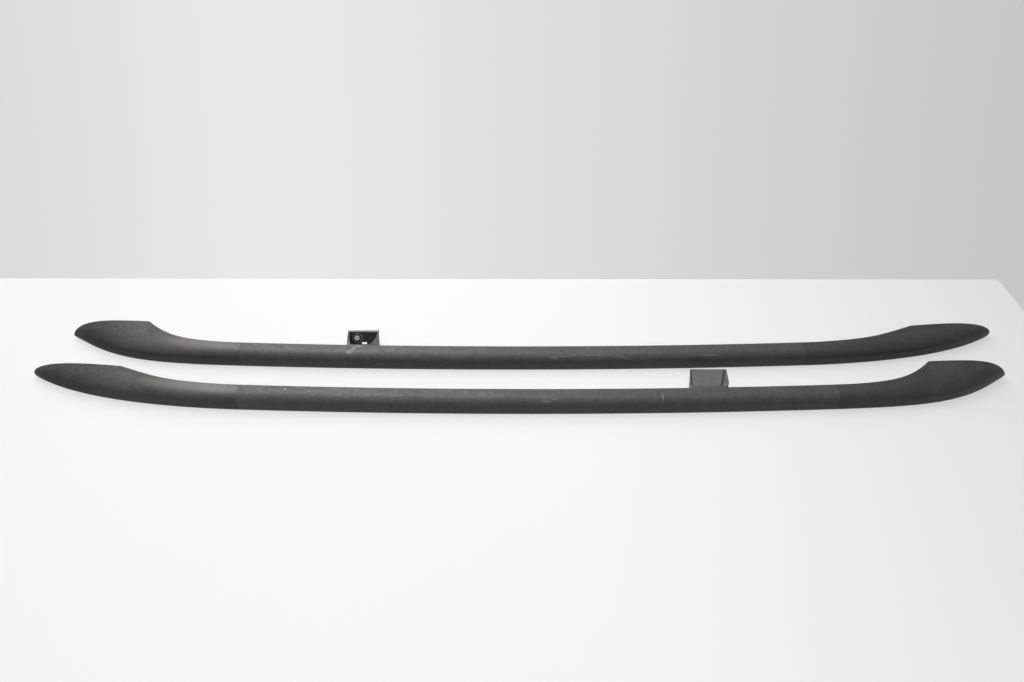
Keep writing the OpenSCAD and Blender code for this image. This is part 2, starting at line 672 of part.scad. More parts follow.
module mid_support() {
    color("#262627")
        difference() {
            union() {
                difference() {
                    body_block();
                    pocket_block();
                    translate([0, 0, cap_floor])
                        linear_extrude(mid_width)
                            recess_outline();
                    arch_length(saddle_x - mid_length, saddle_x + mid_length, -saddle_gap);
                }
                on_seat()
                    translate([0, 0, -mid_plate / 2])
                        cylinder(h = mid_plate / 2 + ring_height, r = ring_outer, $fn = ROUND);
            }
            on_seat()
                cylinder(h = ring_height + EPS, r = ring_inner, $fn = ROUND);
            on_seat()
                translate([0, 0, -mid_plate - EPS])
                    cylinder(h = mid_plate + 2 * EPS, r = bolt_shoulder + bolt_clearance, $fn = ROUND);
            on_seat()
                slot_prism(mid_plate + EPS, EPS);
            for (i = [-1, 1])
                saddle_screw_frame(i)
                    saddle_hole(saddle_thickness + EPS);
        }
}

// The slot beside the bolt, cut from a depth below the seat to a height above it
module slot_prism(below, above) {
    translate([-slot_offset - slot_length / 2, -slot_drop - slot_height / 2, -below])
        cube([slot_length, slot_height, below + above]);
}

module mid_screws() {
    color("#8f9194")
        for (i = [-1, 1])
            saddle_screw_frame(i)
                screw(saddle_screw_length);
}

module mid_washer() {
    color("#4a4b4d")
        on_seat()
            difference() {
                cylinder(h = washer_thickness, r = washer_radius, $fn = ROUND);
                translate([0, 0, -EPS])
                    cylinder(h = washer_thickness + 2 * EPS, r = bolt_shoulder + bolt_clearance, $fn = ROUND);
            }
}

module mid_bolt() {
    shoulder = mid_plate + pad_thickness;
    bolt_corners = bolt_flats / 2 / cos(30);
    color("#c9cbce")
        on_seat()
            difference() {
                union() {
                    translate([0, 0, -shoulder - bolt_reach])
                        cylinder(h = bolt_reach + EPS, r = bolt_radius, $fn = ROUND);
                    translate([0, 0, -shoulder])
                        cylinder(h = shoulder + washer_thickness + EPS, r = bolt_shoulder, $fn = ROUND);
                    translate([0, 0, washer_thickness])
                        cylinder(h = bolt_flange_thickness, r = bolt_flange_radius, $fn = ROUND);
                    translate([0, 0, washer_thickness])
                        cylinder(h = bolt_flange_thickness + bolt_head_height, r = bolt_corners, $fn = 6);
                }
                translate([0, 0, washer_thickness + bolt_flange_thickness + bolt_head_height / 2])
                    cylinder(h = bolt_head_height, r = bolt_radius * 0.9, $fn = 6);
            }
}

// The pad's outline on the base plate, in the frame of the bolt's seat
module mid_pad() {
    low = (mid_bottom - bolt_seat_height) / cos(mid_slope) + mid_plate * tan(mid_slope) + pad_inset;
    high = (cap_floor - bolt_seat_height) / cos(mid_slope) + mid_plate * tan(mid_slope) - pad_inset;
    left = shallow_edge(base_y(cap_floor)) - mid_distance - bolt_offset + pad_inset;
    right = steep_edge(base_y(mid_bottom)) - mid_distance - bolt_offset - pad_inset;
    color("#1a1a1b")
        on_seat()
            difference() {
                translate([left, low, -mid_plate - pad_thickness])
                    cube([right - left, high - low, pad_thickness]);
                translate([0, 0, -mid_plate - pad_thickness - EPS])
                    cylinder(h = pad_thickness + 2 * EPS, r = bolt_shoulder + bolt_clearance, $fn = ROUND);
                slot_prism(mid_plate + pad_thickness + EPS, 0);
            }
}

// Outer side of the cap's cheek, and its groove's middle, at a place between bar and roof
function cheek_side(y) =
    steep_edge(y) + cheek_reach - cheek_draw * clamp((flare_y - y) / (flare_y - bar_under));
function groove_x(y) = steep_edge(y) + mix(groove_roof, -groove_bar, (roof_y - y) / mid_rise);

module cap_outline(low, edge) {
    polygon([[shallow_edge(low) + cap_rim + cap_gap, low], [cheek_side(low), low],
             [cheek_side(flare_y), flare_y], [cheek_side(roof_y), edge],
             [shallow_edge(roof_y) + cap_rim + cap_gap, edge]]);
}

module cheek_outline(low) {
    polygon([[cheek_side(low) - cap_thickness, low], [cheek_side(low), low],
             [cheek_side(flare_y), flare_y], [cheek_side(roof_y), roof_y],
             [cheek_side(roof_y) - cap_thickness, roof_y], [cheek_side(flare_y) - cap_thickness, flare_y]]);
}

module groove_outline() {
    side = cap_groove / 2;
    from = bar_under - EPS;
    to = roof_y + 2 * cap_reach;
    polygon([[groove_x(from) - side, from], [groove_x(from) + side, from],
             [groove_x(to) + side, to], [groove_x(to) - side, to]]);
}

// The cap's face with its bevel at the roof, and the cheek that hangs down beside the support
module cap_shell() {
    edge = roof_y + cap_reach;
    low = recess_low + cap_gap;
    under = cap_floor - cheek_depth;
    top = mid_top + HEAD_LIFT;
    intersection() {
        translate([0, 0, cap_floor + HEAD_LIFT])
            linear_extrude(cap_thickness)
                cap_outline(low, edge);
        along_rail([[bar_under, 0], [edge, 0], [edge, mid_top - cap_bevel], [edge - cap_bevel, top],
                    [bar_under, top]]);
    }
    intersection() {
        translate([0, 0, under])
            linear_extrude(cheek_depth + cap_thickness / 2)
                cheek_outline(low);
        along_rail([[bar_under, under - 1], [base_y(under - 1), under - 1], [base_y(mid_top), mid_top],
                    [bar_under, mid_top]]);
    }
}

module mid_cap() {
    color("#6c6d69") {
        difference() {
            cap_shell();
            translate([0, 0, mid_top - groove_depth])
                linear_extrude(cap_thickness)
                    groove_outline();
        }
        for (i = [-1, 1])
            translate([saddle_x + i * saddle_screw_offset - tongue_width / 2, saddle_y + cap_gap, 0])
                translate([0, 0, cap_floor - tongue_depth])
                    cube([tongue_width, tongue_thickness, tongue_depth + cap_thickness / 2]);
    }
}

// Each rail in its place: the far one has its steep foot at the left, the near one at the right
near_y = (ridge_height - pair_spacing - half * sin(rail_turn)) / 2;

module far_rail() {
    translate([pair_stagger / 2, near_y + pair_spacing, 0])
        rotate([0, 0, rail_turn])
            mirror([1, 0, 0])
                children();
}

module near_rail() {
    translate([-pair_stagger / 2, near_y, 0])
        rotate([0, 0, -rail_turn])
            children();
}

module far_bar() far_rail() bar();
module far_steep_foot_cover() far_rail() color("#2a2a2b") foot_cover(STEEP);
module far_shallow_foot_cover() far_rail() color("#2a2a2b") shallow_end() foot_cover(SHALLOW);
module far_steep_foot_bracket() far_rail() foot_bracket(STEEP);
module far_shallow_foot_bracket() far_rail() shallow_end() foot_bracket(SHALLOW);
module far_steep_foot_gasket() far_rail() foot_gasket(STEEP);
module far_shallow_foot_gasket() far_rail() shallow_end() foot_gasket(SHALLOW);
module far_bar_screws() far_rail() bar_screws();
module far_mid_support() far_rail() mid_support();
module far_mid_screws() far_rail() mid_screws();
module far_mid_bolt() far_rail() mid_bolt();
module far_mid_washer() far_rail() mid_washer();
module far_mid_pad() far_rail() mid_pad();
module near_bar() near_rail() bar();
module near_steep_foot_cover() near_rail() color("#2a2a2b") foot_cover(STEEP);
module near_shallow_foot_cover() near_rail() color("#2a2a2b") shallow_end() foot_cover(SHALLOW);
module near_steep_foot_bracket() near_rail() foot_bracket(STEEP);
module near_shallow_foot_bracket() near_rail() shallow_end() foot_bracket(SHALLOW);
module near_steep_foot_gasket() near_rail() foot_gasket(STEEP);
module near_shallow_foot_gasket() near_rail() shallow_end() foot_gasket(SHALLOW);
module near_bar_screws() near_rail() bar_screws();
module near_mid_support() near_rail() mid_support();
module near_mid_screws() near_rail() mid_screws();
module near_mid_bolt() near_rail() mid_bolt();
module near_mid_washer() near_rail() mid_washer();
module near_mid_pad() near_rail() mid_pad();
module near_mid_cap() near_rail() mid_cap();

far_bar();
far_steep_foot_cover();
far_shallow_foot_cover();
far_steep_foot_bracket();
far_shallow_foot_bracket();
far_steep_foot_gasket();
far_shallow_foot_gasket();
far_bar_screws();
far_mid_support();
far_mid_screws();
far_mid_bolt();
far_mid_washer();
far_mid_pad();
near_bar();
near_steep_foot_cover();
near_shallow_foot_cover();
near_steep_foot_bracket();
near_shallow_foot_bracket();
near_steep_foot_gasket();
near_shallow_foot_gasket();
near_bar_screws();
near_mid_support();
near_mid_screws();
near_mid_bolt();
near_mid_washer();
near_mid_pad();
near_mid_cap();
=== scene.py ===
"""Dresses a packed pair of roof side rails: end covers, bars, finishes, light and camera.

The rails lie on their sides. X runs along them, +Y points from the ridge to the roof side and +Z is up.
Each rail is built in its own frame, with its steep foot at positive x and its tips on the line y = 0,
and is then put in its place in the pair. Sizes of the rails and of the marks are in millimetres, and all else
is in metres.
"""
import json
import logging
import math
from collections.abc import Mapping
from dataclasses import dataclass, field, replace
from enum import Enum

import bpy
import numpy as np
from mathutils import Matrix, Vector

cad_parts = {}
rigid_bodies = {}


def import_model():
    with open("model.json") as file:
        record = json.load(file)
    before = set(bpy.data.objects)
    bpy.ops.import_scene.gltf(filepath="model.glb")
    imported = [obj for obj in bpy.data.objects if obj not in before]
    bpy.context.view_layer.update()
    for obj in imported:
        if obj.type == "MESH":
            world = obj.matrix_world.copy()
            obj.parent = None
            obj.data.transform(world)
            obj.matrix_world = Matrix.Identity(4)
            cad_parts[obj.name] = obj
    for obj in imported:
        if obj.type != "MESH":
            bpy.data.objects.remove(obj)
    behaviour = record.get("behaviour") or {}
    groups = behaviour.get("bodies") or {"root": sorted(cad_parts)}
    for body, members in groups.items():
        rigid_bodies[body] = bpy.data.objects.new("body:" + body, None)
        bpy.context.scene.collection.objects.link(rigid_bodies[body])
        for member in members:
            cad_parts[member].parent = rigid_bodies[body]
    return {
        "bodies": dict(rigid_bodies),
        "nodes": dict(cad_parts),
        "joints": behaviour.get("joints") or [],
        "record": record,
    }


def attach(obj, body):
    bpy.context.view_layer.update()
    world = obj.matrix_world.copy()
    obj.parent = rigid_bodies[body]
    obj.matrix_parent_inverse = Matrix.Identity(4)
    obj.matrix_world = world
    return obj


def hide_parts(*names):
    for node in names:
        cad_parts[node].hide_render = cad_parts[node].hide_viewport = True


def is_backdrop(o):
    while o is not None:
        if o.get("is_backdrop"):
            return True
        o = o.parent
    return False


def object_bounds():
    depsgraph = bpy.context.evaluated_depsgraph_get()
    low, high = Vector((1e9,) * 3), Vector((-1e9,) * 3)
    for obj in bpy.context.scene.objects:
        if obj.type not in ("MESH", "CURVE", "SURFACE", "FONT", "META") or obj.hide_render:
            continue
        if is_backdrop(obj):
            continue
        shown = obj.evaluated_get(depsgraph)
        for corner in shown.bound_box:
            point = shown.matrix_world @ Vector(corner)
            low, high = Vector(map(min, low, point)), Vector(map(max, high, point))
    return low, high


log = logging.getLogger("rails")
MM = 0.001
TINY = 1e-6

Triple = tuple[float, float, float]
Socket = bpy.types.NodeSocket
Value = float | Socket
Sockets = Mapping[str, Socket]


class Side(Enum):
    """The two rails of the pair, by their distance from the camera."""

    FAR = "far"
    NEAR = "near"


class FootKind(Enum):
    """The two forms of foot that each rail has."""

    STEEP = "steep"
    SHALLOW = "shallow"


@dataclass(frozen=True)
class FootForm:
    """Sizes of one end cover, in millimetres and degrees, as in the part's source."""

    cover_length: float
    base_length: float
    corner_rise: float
    neck_angle: float
    tip_angle: float
    bulge: float
    fullness: float
    squareness: float
    ridge_pull: tuple[float, float]
    neck_pull: tuple[float, float]


@dataclass(frozen=True)
class RailSizes:
    """Sizes that both rails share, in millimetres and degrees, as in the part's source."""

    length: float = 1800.0
    spacing: float = 123.0
    stagger: float = 28.0
    turn: float = 0.17
    depth: float = 39.5
    width: float = 36.0
    corner: float = 11.0
    crown: float = 16.0
    foot_crown: float = 20.0
    brow_drop: float = 17.0
    brow_reach: float = 15.0
    leaf_drop: float = 16.0
    leaf_reach: float = 36.0
    dome_fade: float = 0.6
    wall: float = 2.5
    arch_radius: float = 11600.0
    ridge_height: float = 110.0
    foot_width: float = 41.0
    tip_height: float = 5.0
    cover_wall: float = 2.5
    tip_solid: float = 14.0
    seam_gap: float = 0.5
    rim_radius: float = 1.0
    inner_rim: float = 0.5
    tip_lift: float = 1 / 6
    seam_fade: float = 40.0
    feet: dict[FootKind, FootForm] = field(
        default_factory=lambda: {
            FootKind.STEEP: FootForm(343, 155, 3, 44.5, 39, 4, 4.3, 1.55, (0.525, 0.352), (0.51, 0.42)),
            FootKind.SHALLOW: FootForm(395, 174, 20, 22.5, 46, 0, 3.1, 2.1, (0.655, 0.1), (0.585, 0.405)),
        }
    )

    @property
    def half(self) -> float:
        """Returns: half the rail's length."""
        return self.length / 2

    def seam(self, kind: FootKind) -> float:
        """Args: kind: which foot. Returns: distance of its seam from the rail's middle."""
        return self.half - self.feet[kind].cover_length

    def arch(self, x: np.ndarray) -> np.ndarray:
        """Args: x: distances from the middle. Returns: height of the ridge line there."""
        return self.arch_radius - self.ridge_height - np.sqrt(self.arch_radius**2 - x**2)

    def arch_slope(self, x: float) -> float:
        """Args: x: distance from the middle. Returns: slope of the ridge line there."""
        return x / math.sqrt(self.arch_radius**2 - x**2)


SIZES = RailSizes()


@dataclass
class Surface:
    """A mesh under construction: points, faces and a flat map (u along, v around) in metres."""

    points: np.ndarray
    quads: np.ndarray
    tris: np.ndarray
    chart: np.ndarray

    def to_object(self, name: str, flip: bool, sharp: float = 35.0) -> bpy.types.Object:
        """Makes the Blender object, smooth shaded with creases at sharp angles.

        Args:
            name: name of the object.
            flip: whether to turn the faces round, for a mirrored rail.
            sharp: angle in degrees above which an edge stays sharp.
        Returns:
            The new object, linked to the scene.
        """
        quads = self.quads[:, ::-1] if flip else self.quads
        tris = self.tris[:, ::-1] if flip else self.tris
        mesh = bpy.data.meshes.new(name)
        mesh.from_pydata(self.points.tolist(), [], [*quads.tolist(), *tris.tolist()])
        layer = mesh.uv_layers.new(name="chart")
        corners = np.empty(len(mesh.loops), np.int32)
        mesh.loops.foreach_get("vertex_index", corners)
        layer.data.foreach_set("uv", self.chart[corners].astype(np.float32).ravel())
        mesh.shade_smooth()
        mesh.set_sharp_from_angle(angle=math.radians(sharp))
        mesh.validate()
        obj = bpy.data.objects.new(name, mesh)
        bpy.context.scene.collection.objects.link(obj)
        return obj


def bezier(p: np.ndarray, n: int = 600) -> np.ndarray:
    """Points of a cubic curve: its four control points weighed by (1-t)^3, 3t(1-t)^2, 3t^2(1-t) and t^3.

    Args:
        p: four control points.
        n: how many points to return.
    Returns:
        An n by 2 array.
    """
    t = np.linspace(0, 1, n)[:, None]
    return p[0] * (1 - t) ** 3 + p[1] * 3 * t * (1 - t) ** 2 + p[2] * 3 * t * t * (1 - t) + p[3] * t**3


def smooth(t: np.ndarray) -> np.ndarray:
    """Args: t: numbers. Returns: a soft step from 0 to 1, 3t^2 - 2t^3 with t kept between 0 and 1."""
    t = np.clip(t, 0, 1)
    return t * t * (3 - 2 * t)


class SectionLoop:
    """A rounded four-sided section drawn round the bench side, the ridge and the visible side."""

    def __init__(self, arc_steps: int = 10, flat_steps: int = 5) -> None:
        """Args: arc_steps: segments of a corner. flat_steps: segments of a flat between corners."""
        self.arc = np.linspace(0, math.pi / 2, arc_steps + 1)
        ramp = np.linspace(0, 1, flat_steps + 1)[1:-1]
        self.ramp = 0.5 - 0.5 * np.cos(math.pi * ramp)

    def draw(self, yr: np.ndarray, yb: np.ndarray, z0: np.ndarray, zr: np.ndarray, zb: np.ndarray,
             rr: np.ndarray, rc: np.ndarray, rb: np.ndarray,
             wide: np.ndarray | None = None) -> tuple[np.ndarray, np.ndarray]:
        """Draws one section for each entry of the given arrays.

        Corners are quarter circles, and the crown is a quarter ellipse that reaches rc down and wide inward.
        The visible side runs straight from height zr at the ridge to zb at the base.

        Args:
            yr: ridge. yb: underside. z0: bench side. zr, zb: visible side at ridge and base.
            rr, rc, rb: radii at bench and ridge, at the crown and at the underside.
            wide: how far the crown reaches inward; rc where it isn't given.
        Returns:
            Two arrays, one row a section: y and z of the points in order.
        """
        c, s = np.cos(self.arc), np.sin(self.arc)
        levels = (yr, yb, z0, zr, zb, rr, rc, rb, rc if wide is None else wide)
        yr, yb, z0, zr, zb, rr, rc, rb, wide = (np.asarray(level, float)[:, None] for level in levels)

        def top(y: np.ndarray) -> np.ndarray:
            """Args: y: places across. Returns: height of the visible side there."""
            return zr + (zb - zr) * (y - yr) / (yb - yr)

        corners = [
            (yb - rb + rb * c, z0 + rb - rb * s + 0 * yb),
            (yr + rr - rr * s, z0 + rr - rr * c),
            (yr + wide - wide * c, top(yr + wide - wide * c) - rc + rc * s),
            (yb - rb + rb * s, top(yb - rb + rb * s) - rb + rb * c),
        ]
        ys, zs = [], []
        for i, (y, z) in enumerate(corners):
            ys.append(y)
            zs.append(z)
            if i < 3:
                y2, z2 = corners[i + 1]
                ys.append(y[:, -1:] + (y2[:, :1] - y[:, -1:]) * self.ramp)
                zs.append(z[:, -1:] + (z2[:, :1] - z[:, -1:]) * self.ramp)
        return np.concatenate(ys, 1), np.concatenate(zs, 1)


def around(y: np.ndarray, z: np.ndarray) -> np.ndarray:
    """Args: y, z: sections. Returns: distance round each section, zero in the middle of the ridge."""
    step = np.hypot(np.diff(y, axis=1), np.diff(z, axis=1))
    run = np.concatenate([np.zeros((len(y), 1)), np.cumsum(step, 1)], 1)
    middle = np.argmin(y + TINY * z, axis=1)
    return run - run[np.arange(len(y)), middle][:, None]


def grid_faces(rows: int, cols: int, closed: bool, first: int = 0, inward: bool = False) -> np.ndarray:
    """Quads of a grid of points.

    Args:
        rows: rows of points. cols: points in a row. closed: whether each row closes on itself.
        first: number of the first point. inward: whether the faces look the other way.
    Returns:
        One row of four point numbers a face.
    """
    i, k = np.meshgrid(np.arange(rows - 1), np.arange(cols if closed else cols - 1), indexing="ij")
    a, b = i * cols + k, i * cols + (k + 1) % cols
    faces = np.stack([a, a + cols, b + cols, b], -1).reshape(-1, 4) + first
    return faces[:, ::-1] if inward else faces


class FootCover:
    """A moulded end cover as one closed shell, open at its seam and along its base.

    Sections run from the seam to the tip. Their ridge and underside follow two cubic curves, and past the
    base corner the outline in plan narrows to the tip by (1 - (1 - l)^n)^(1/m) of the length left, l.
    NECK, LEAF and TIP count the sections. A radius takes up at most its share of the section.
    """

    NECK, LEAF, TIP = 84, 60, 14
    RIDGE_SHARE, CROWN_SHARE, DEPTH_SHARE, BASE_SHARE = 0.4, 0.55, 0.6, 0.2
    BULGE_FADE = 0.7

    def __init__(self, kind: FootKind, sizes: RailSizes = SIZES) -> None:
        """Args: kind: which foot. sizes: the rail's sizes."""
        self.s, self.f, self.kind = sizes, sizes.feet[kind], kind
        s, f = sizes, self.f
        self.seam, self.corner = s.seam(kind), s.half - f.base_length
        self.tan_neck = math.tan(math.radians(f.neck_angle))
        self.tan_base = f.corner_rise / f.base_length
        self.web = self.corner + s.cover_wall * math.hypot(1, self.tan_neck) / (self.tan_neck - self.tan_base)
        k, y0, tip = s.arch_slope(self.seam), float(s.arch(self.seam)), math.radians(f.tip_angle)
        pr, pn = np.array(f.ridge_pull) * f.cover_length, np.array(f.neck_pull) * (self.corner - self.seam)
        self.ridge = bezier(np.array([
            (self.seam, y0), (self.seam + pr[0], y0 + pr[0] * k),
            (s.half - pr[1] * math.cos(tip), -pr[1] * math.sin(tip)), (s.half, 0)]))
        neck = math.radians(f.neck_angle)
        yn = y0 + s.depth
        self.neck = bezier(np.array([
            (self.seam, yn), (self.seam + pn[0], yn + pn[0] * k),
            (self.corner - pn[1] * math.cos(neck), -f.corner_rise - pn[1] * math.sin(neck)),
            (self.corner, -f.corner_rise)]))

    def _read(self, curve: np.ndarray, x: np.ndarray) -> tuple[np.ndarray, np.ndarray]:
        """Args: curve: points. x: distances. Returns: height and slope of the curve there."""
        slope = np.gradient(curve[:, 1], curve[:, 0])
        return np.interp(x, curve[:, 0], curve[:, 1]), np.interp(x, curve[:, 0], slope)

    def _levels(self, x: np.ndarray) -> dict[str, np.ndarray]:
        """Args: x: distances. Returns: the outer section's levels and radii there, by name."""
        s, f = self.s, self.f
        left = np.clip((s.half - x) / f.base_length, 0, 1)
        fill = (1 - (1 - left) ** f.fullness) ** (1 / f.squareness)
        along = (x - self.seam) / (self.corner - self.seam)
        in_neck = x < self.corner
        yr, kr = self._read(self.ridge, x)
        yn, kn = self._read(self.neck, x)
        past = ~in_neck
        yn = np.where(past, -f.corner_rise + (x - self.corner) * self.tan_neck, yn)
        kn = np.where(past, self.tan_neck, kn)
        base = -f.corner_rise * (s.half - x) / f.base_length
        zr = s.tip_height + (s.width - s.tip_height) * fill
        zb = np.where(
            in_neck, s.width + (s.foot_width - s.width) * smooth(along),
            s.tip_height + (s.foot_width - s.tip_height) * fill
            + f.bulge * fill * (1 - left) ** self.BULGE_FADE)
        z0 = s.tip_height * (1 - np.sqrt(np.minimum(1, left / s.tip_lift)))
        ru = s.corner + (s.rim_radius - s.corner) * smooth(along)
        crown = s.crown + (s.foot_crown - s.crown) * smooth(along)
        domed = smooth(left / s.dome_fade)
        drop = s.brow_drop + (s.leaf_drop - s.brow_drop) * smooth(along)
        reach = s.brow_reach + (s.leaf_reach - s.brow_reach) * smooth(along)
        drop, reach = crown + (drop - crown) * domed, crown + (reach - crown) * domed
        lean = s.arch_slope(self.seam) * (1 - smooth((x - self.seam) / s.seam_fade))
        return {"yr": yr, "kr": kr, "yn": yn, "kn": kn, "base": base, "zr": zr, "zb": zb, "z0": z0,
                "ru": ru, "crown": crown, "drop": drop, "reach": reach, "lean": lean}

    def _radii(self, crown: np.ndarray, inset: float, high: np.ndarray, deep: np.ndarray) -> list[np.ndarray]:
        """Args: crown: its radius. inset: how far in. high, deep: the section. Returns: both top radii."""
        corner, most = np.full_like(high, self.s.corner - inset), self.DEPTH_SHARE * deep
        return [np.minimum.reduce([corner, self.RIDGE_SHARE * high, most]),
                np.minimum.reduce([crown - inset, self.CROWN_SHARE * high, most])]

    def _outer(self, x: np.ndarray, loop: SectionLoop) -> np.ndarray:
        """Args: x: stations. loop: the section. Returns: outer points, one section a row."""
        v = self._levels(x)
        yb = np.where(x < self.corner, v["yn"], v["base"])
        deep = yb - v["yr"]
        rr, rc = self._radii(v["drop"], 0.0, v["zr"] - v["z0"], deep)
        wide = np.minimum(v["reach"], self.DEPTH_SHARE * deep)
        open_end = self.s.corner * np.clip((self.corner - x) / self.s.rim_radius, 0, 1)
        rb = np.minimum(v["ru"], self.BASE_SHARE * deep + open_end)
        y, z = loop.draw(v["yr"], yb, v["z0"], v["zr"], v["zb"], rr, rc, rb, wide)
        return np.stack([x[:, None] - v["lean"][:, None] * (y - v["yr"][:, None]), y, z], -1)

    def _inner(self, x: np.ndarray, loop: SectionLoop) -> np.ndarray:
        """Args: x: stations. loop: the section. Returns: inner points, one section a row."""
        v, w, s = self._levels(x), self.s.cover_wall, self.s
        yr = v["yr"] + w * np.hypot(1, v["kr"])
        yb = np.where(x < self.web - TINY, v["yn"] - w * np.hypot(1, v["kn"]), v["base"])
        z0, zr = v["z0"] + w, v["zr"] - w
        rr, rc = self._radii(v["crown"], w, zr - z0, yb - yr)
        rb = np.maximum(s.inner_rim, v["ru"] - w)
        y, z = loop.draw(yr, yb, z0, zr, v["zb"] - w, rr, rc, rb)
        return np.stack([x[:, None] - v["lean"][:, None] * (y - yr[:, None]), y, z], -1)

    def surface(self) -> Surface:
        """Returns: the whole shell, in the rail's frame, in metres."""
        s, loop = self.s, SectionLoop(arc_steps=14, flat_steps=6)
        t = s.half - s.tip_solid
        x = np.concatenate([
            np.linspace(self.seam, self.corner, self.NECK + 1), [self.web],
            np.linspace(self.web, t, self.LEAF + 1)[1:],
            s.half - s.tip_solid * (1 - np.arange(1, self.TIP) / self.TIP) ** 2])
        c, e, last = self.NECK, self.NECK + 1 + self.LEAF, len(x) - 1
        out, inn = self._outer(x, loop), self._inner(x[: e + 1], loop)
        n = out.shape[1]
        base = (last + 1) * n
        tip = base + (e + 1) * n

        def o(i: np.ndarray | int, k: np.ndarray | int) -> np.ndarray:
            """Args: i: section. k: place in it. Returns: number of the outer point."""
            return np.asarray(i) * n + np.asarray(k) % n

        def q(i: np.ndarray | int, k: np.ndarray | int) -> np.ndarray:
            """Args: i: section. k: place in it. Returns: number of the inner point."""
            return base + o(i, k)

        ends = np.array([(s.half, 0.0, s.tip_height)])
        points = np.concatenate([out.reshape(-1, 3), inn.reshape(-1, 3), ends]) * MM
        j = n - 1
        skins = [
            grid_faces(c + 1, n, True), grid_faces(last - c + 1, n, False, c * n),
            grid_faces(c + 2, n, True, base, True), grid_faces(e - c, n, False, base + (c + 1) * n, True)]
        k, i, i2, k2 = np.arange(n), np.arange(c + 1, e), np.arange(e + 1, last), np.arange(j // 2)
        joins = [
            np.stack([o(0, k), q(0, k), q(0, k + 1), o(0, k + 1)], -1),
            np.array([[o(c, 0), q(c + 1, 0), q(c + 1, j), o(c, j)]]),
            np.stack([o(i, 0), o(i + 1, 0), q(i + 1, 0), q(i, 0)], -1),
            np.stack([o(i, j), q(i, j), q(i + 1, j), o(i + 1, j)], -1),
            np.stack([o(i2, 0), o(i2 + 1, 0), o(i2 + 1, j), o(i2, j)], -1),
            np.stack([q(e, j - k2), q(e, j - k2 - 1), q(e, k2 + 1), q(e, k2)], -1)]
        tris = [np.array([
            [o(c, 0), o(c + 1, 0), q(c + 1, 0)], [o(c, j), q(c + 1, j), o(c + 1, j)],
            [o(e, 0), o(e + 1, 0), q(e, 0)], [q(e, 0), o(e + 1, 0), o(e + 1, j)],
            [q(e, 0), o(e + 1, j), q(e, j)], [q(e, j), o(e + 1, j), o(e, j)],
            [o(last, 0), tip, o(last, j)]])]
        k = np.arange(n - 1)
        tris.append(np.stack([o(last, k), o(last, k + 1), np.full(n - 1, tip)], -1))
        chart = np.concatenate([
            np.stack([out[..., 0], around(out[..., 1], out[..., 2])], -1).reshape(-1, 2),
            np.stack([inn[..., 0], around(inn[..., 1], inn[..., 2])], -1).reshape(-1, 2),
            [(s.half, 0.0)]]) * MM
        # The joins and triangles are listed clockwise from outside, so they are turned round here.
        faces = np.concatenate([*skins, *(join[:, ::-1] for join in joins)])
        return Surface(points, faces, np.concatenate(tris)[:, ::-1], chart)


class Bar:
    """The arched hollow bar: a rounded rectangle swept round the arch's centre."""

    STATIONS = 320

    def __init__(self, sizes: RailSizes = SIZES) -> None:
        """Args: sizes: the rail's sizes."""
        self.s = sizes

    def _skin(self, x: np.ndarray, inset: float, loop: SectionLoop) -> tuple[np.ndarray, np.ndarray]:
        """Args: x: stations on the ridge. inset: how far in. loop: the section. Returns: points and chart."""
        s = self.s
        drop, reach = (s.crown - inset, s.crown - inset) if inset else (s.brow_drop, s.brow_reach)
        corner, high = s.corner - inset, s.width - inset
        levels = (inset, s.depth - inset, inset, high, high, corner, drop, corner, reach)
        d, z = loop.draw(*(np.array([level]) for level in levels))
        turn = np.arcsin(x / s.arch_radius)[:, None]
        r = s.arch_radius - d
        y = s.arch_radius - s.ridge_height - r * np.cos(turn)
        chart = np.stack([x[:, None] + 0 * d, around(d, z) + 0 * turn], -1)
        return np.stack([r * np.sin(turn), y, z + 0 * turn], -1), chart

    def surface(self) -> Surface:
        """Returns: the hollow bar, in the rail's frame, in metres."""
        s, loop = self.s, SectionLoop(arc_steps=12, flat_steps=7)
        left, right = s.seam_gap - s.seam(FootKind.SHALLOW), s.seam(FootKind.STEEP) - s.seam_gap
        x = np.linspace(left, right, self.STATIONS)
        out, chart_out = self._skin(x, 0.0, loop)
        inn, chart_in = self._skin(x, s.wall, loop)
        rows, n = out.shape[:2]
        base = rows * n
        k = np.arange(n)
        k2 = (k + 1) % n
        start = np.stack([k2, base + k2, base + k, k], -1)
        end = np.stack([base + k, base + k2, k2, k], -1) + (rows - 1) * n
        quads = np.concatenate([grid_faces(rows, n, True), grid_faces(rows, n, True, base, True), start, end])
        points = np.concatenate([out.reshape(-1, 3), inn.reshape(-1, 3)]) * MM
        chart = np.concatenate([chart_out.reshape(-1, 2), chart_in.reshape(-1, 2)]) * MM
        return Surface(points, quads, np.empty((0, 3), int), chart)


@dataclass(frozen=True)
class Place:
    """Where one rail lies: mirrored or not, turned, and moved, in metres."""

    side: Side

    @property
    def mirrored(self) -> bool:
        """Returns: whether the rail is the mirror image of the one that is drawn."""
        return self.side is Side.FAR

    def apply(self, points: np.ndarray, s: RailSizes = SIZES) -> np.ndarray:
        """Args: points: in the rail's frame. s: sizes. Returns: the points in the pair's frame."""
        near_y = (s.ridge_height - s.spacing - s.half * math.sin(math.radians(s.turn))) / 2
        sign = 1 if self.mirrored else -1
        a = math.radians(s.turn) * sign
        x = -sign * points[:, 0]
        y, c, n = points[:, 1], math.cos(a), math.sin(a)
        dx, dy = sign * s.stagger / 2, near_y + (s.spacing if self.mirrored else 0)
        return np.stack([x * c - y * n + dx * MM, x * n + y * c + dy * MM, points[:, 2]], 1)


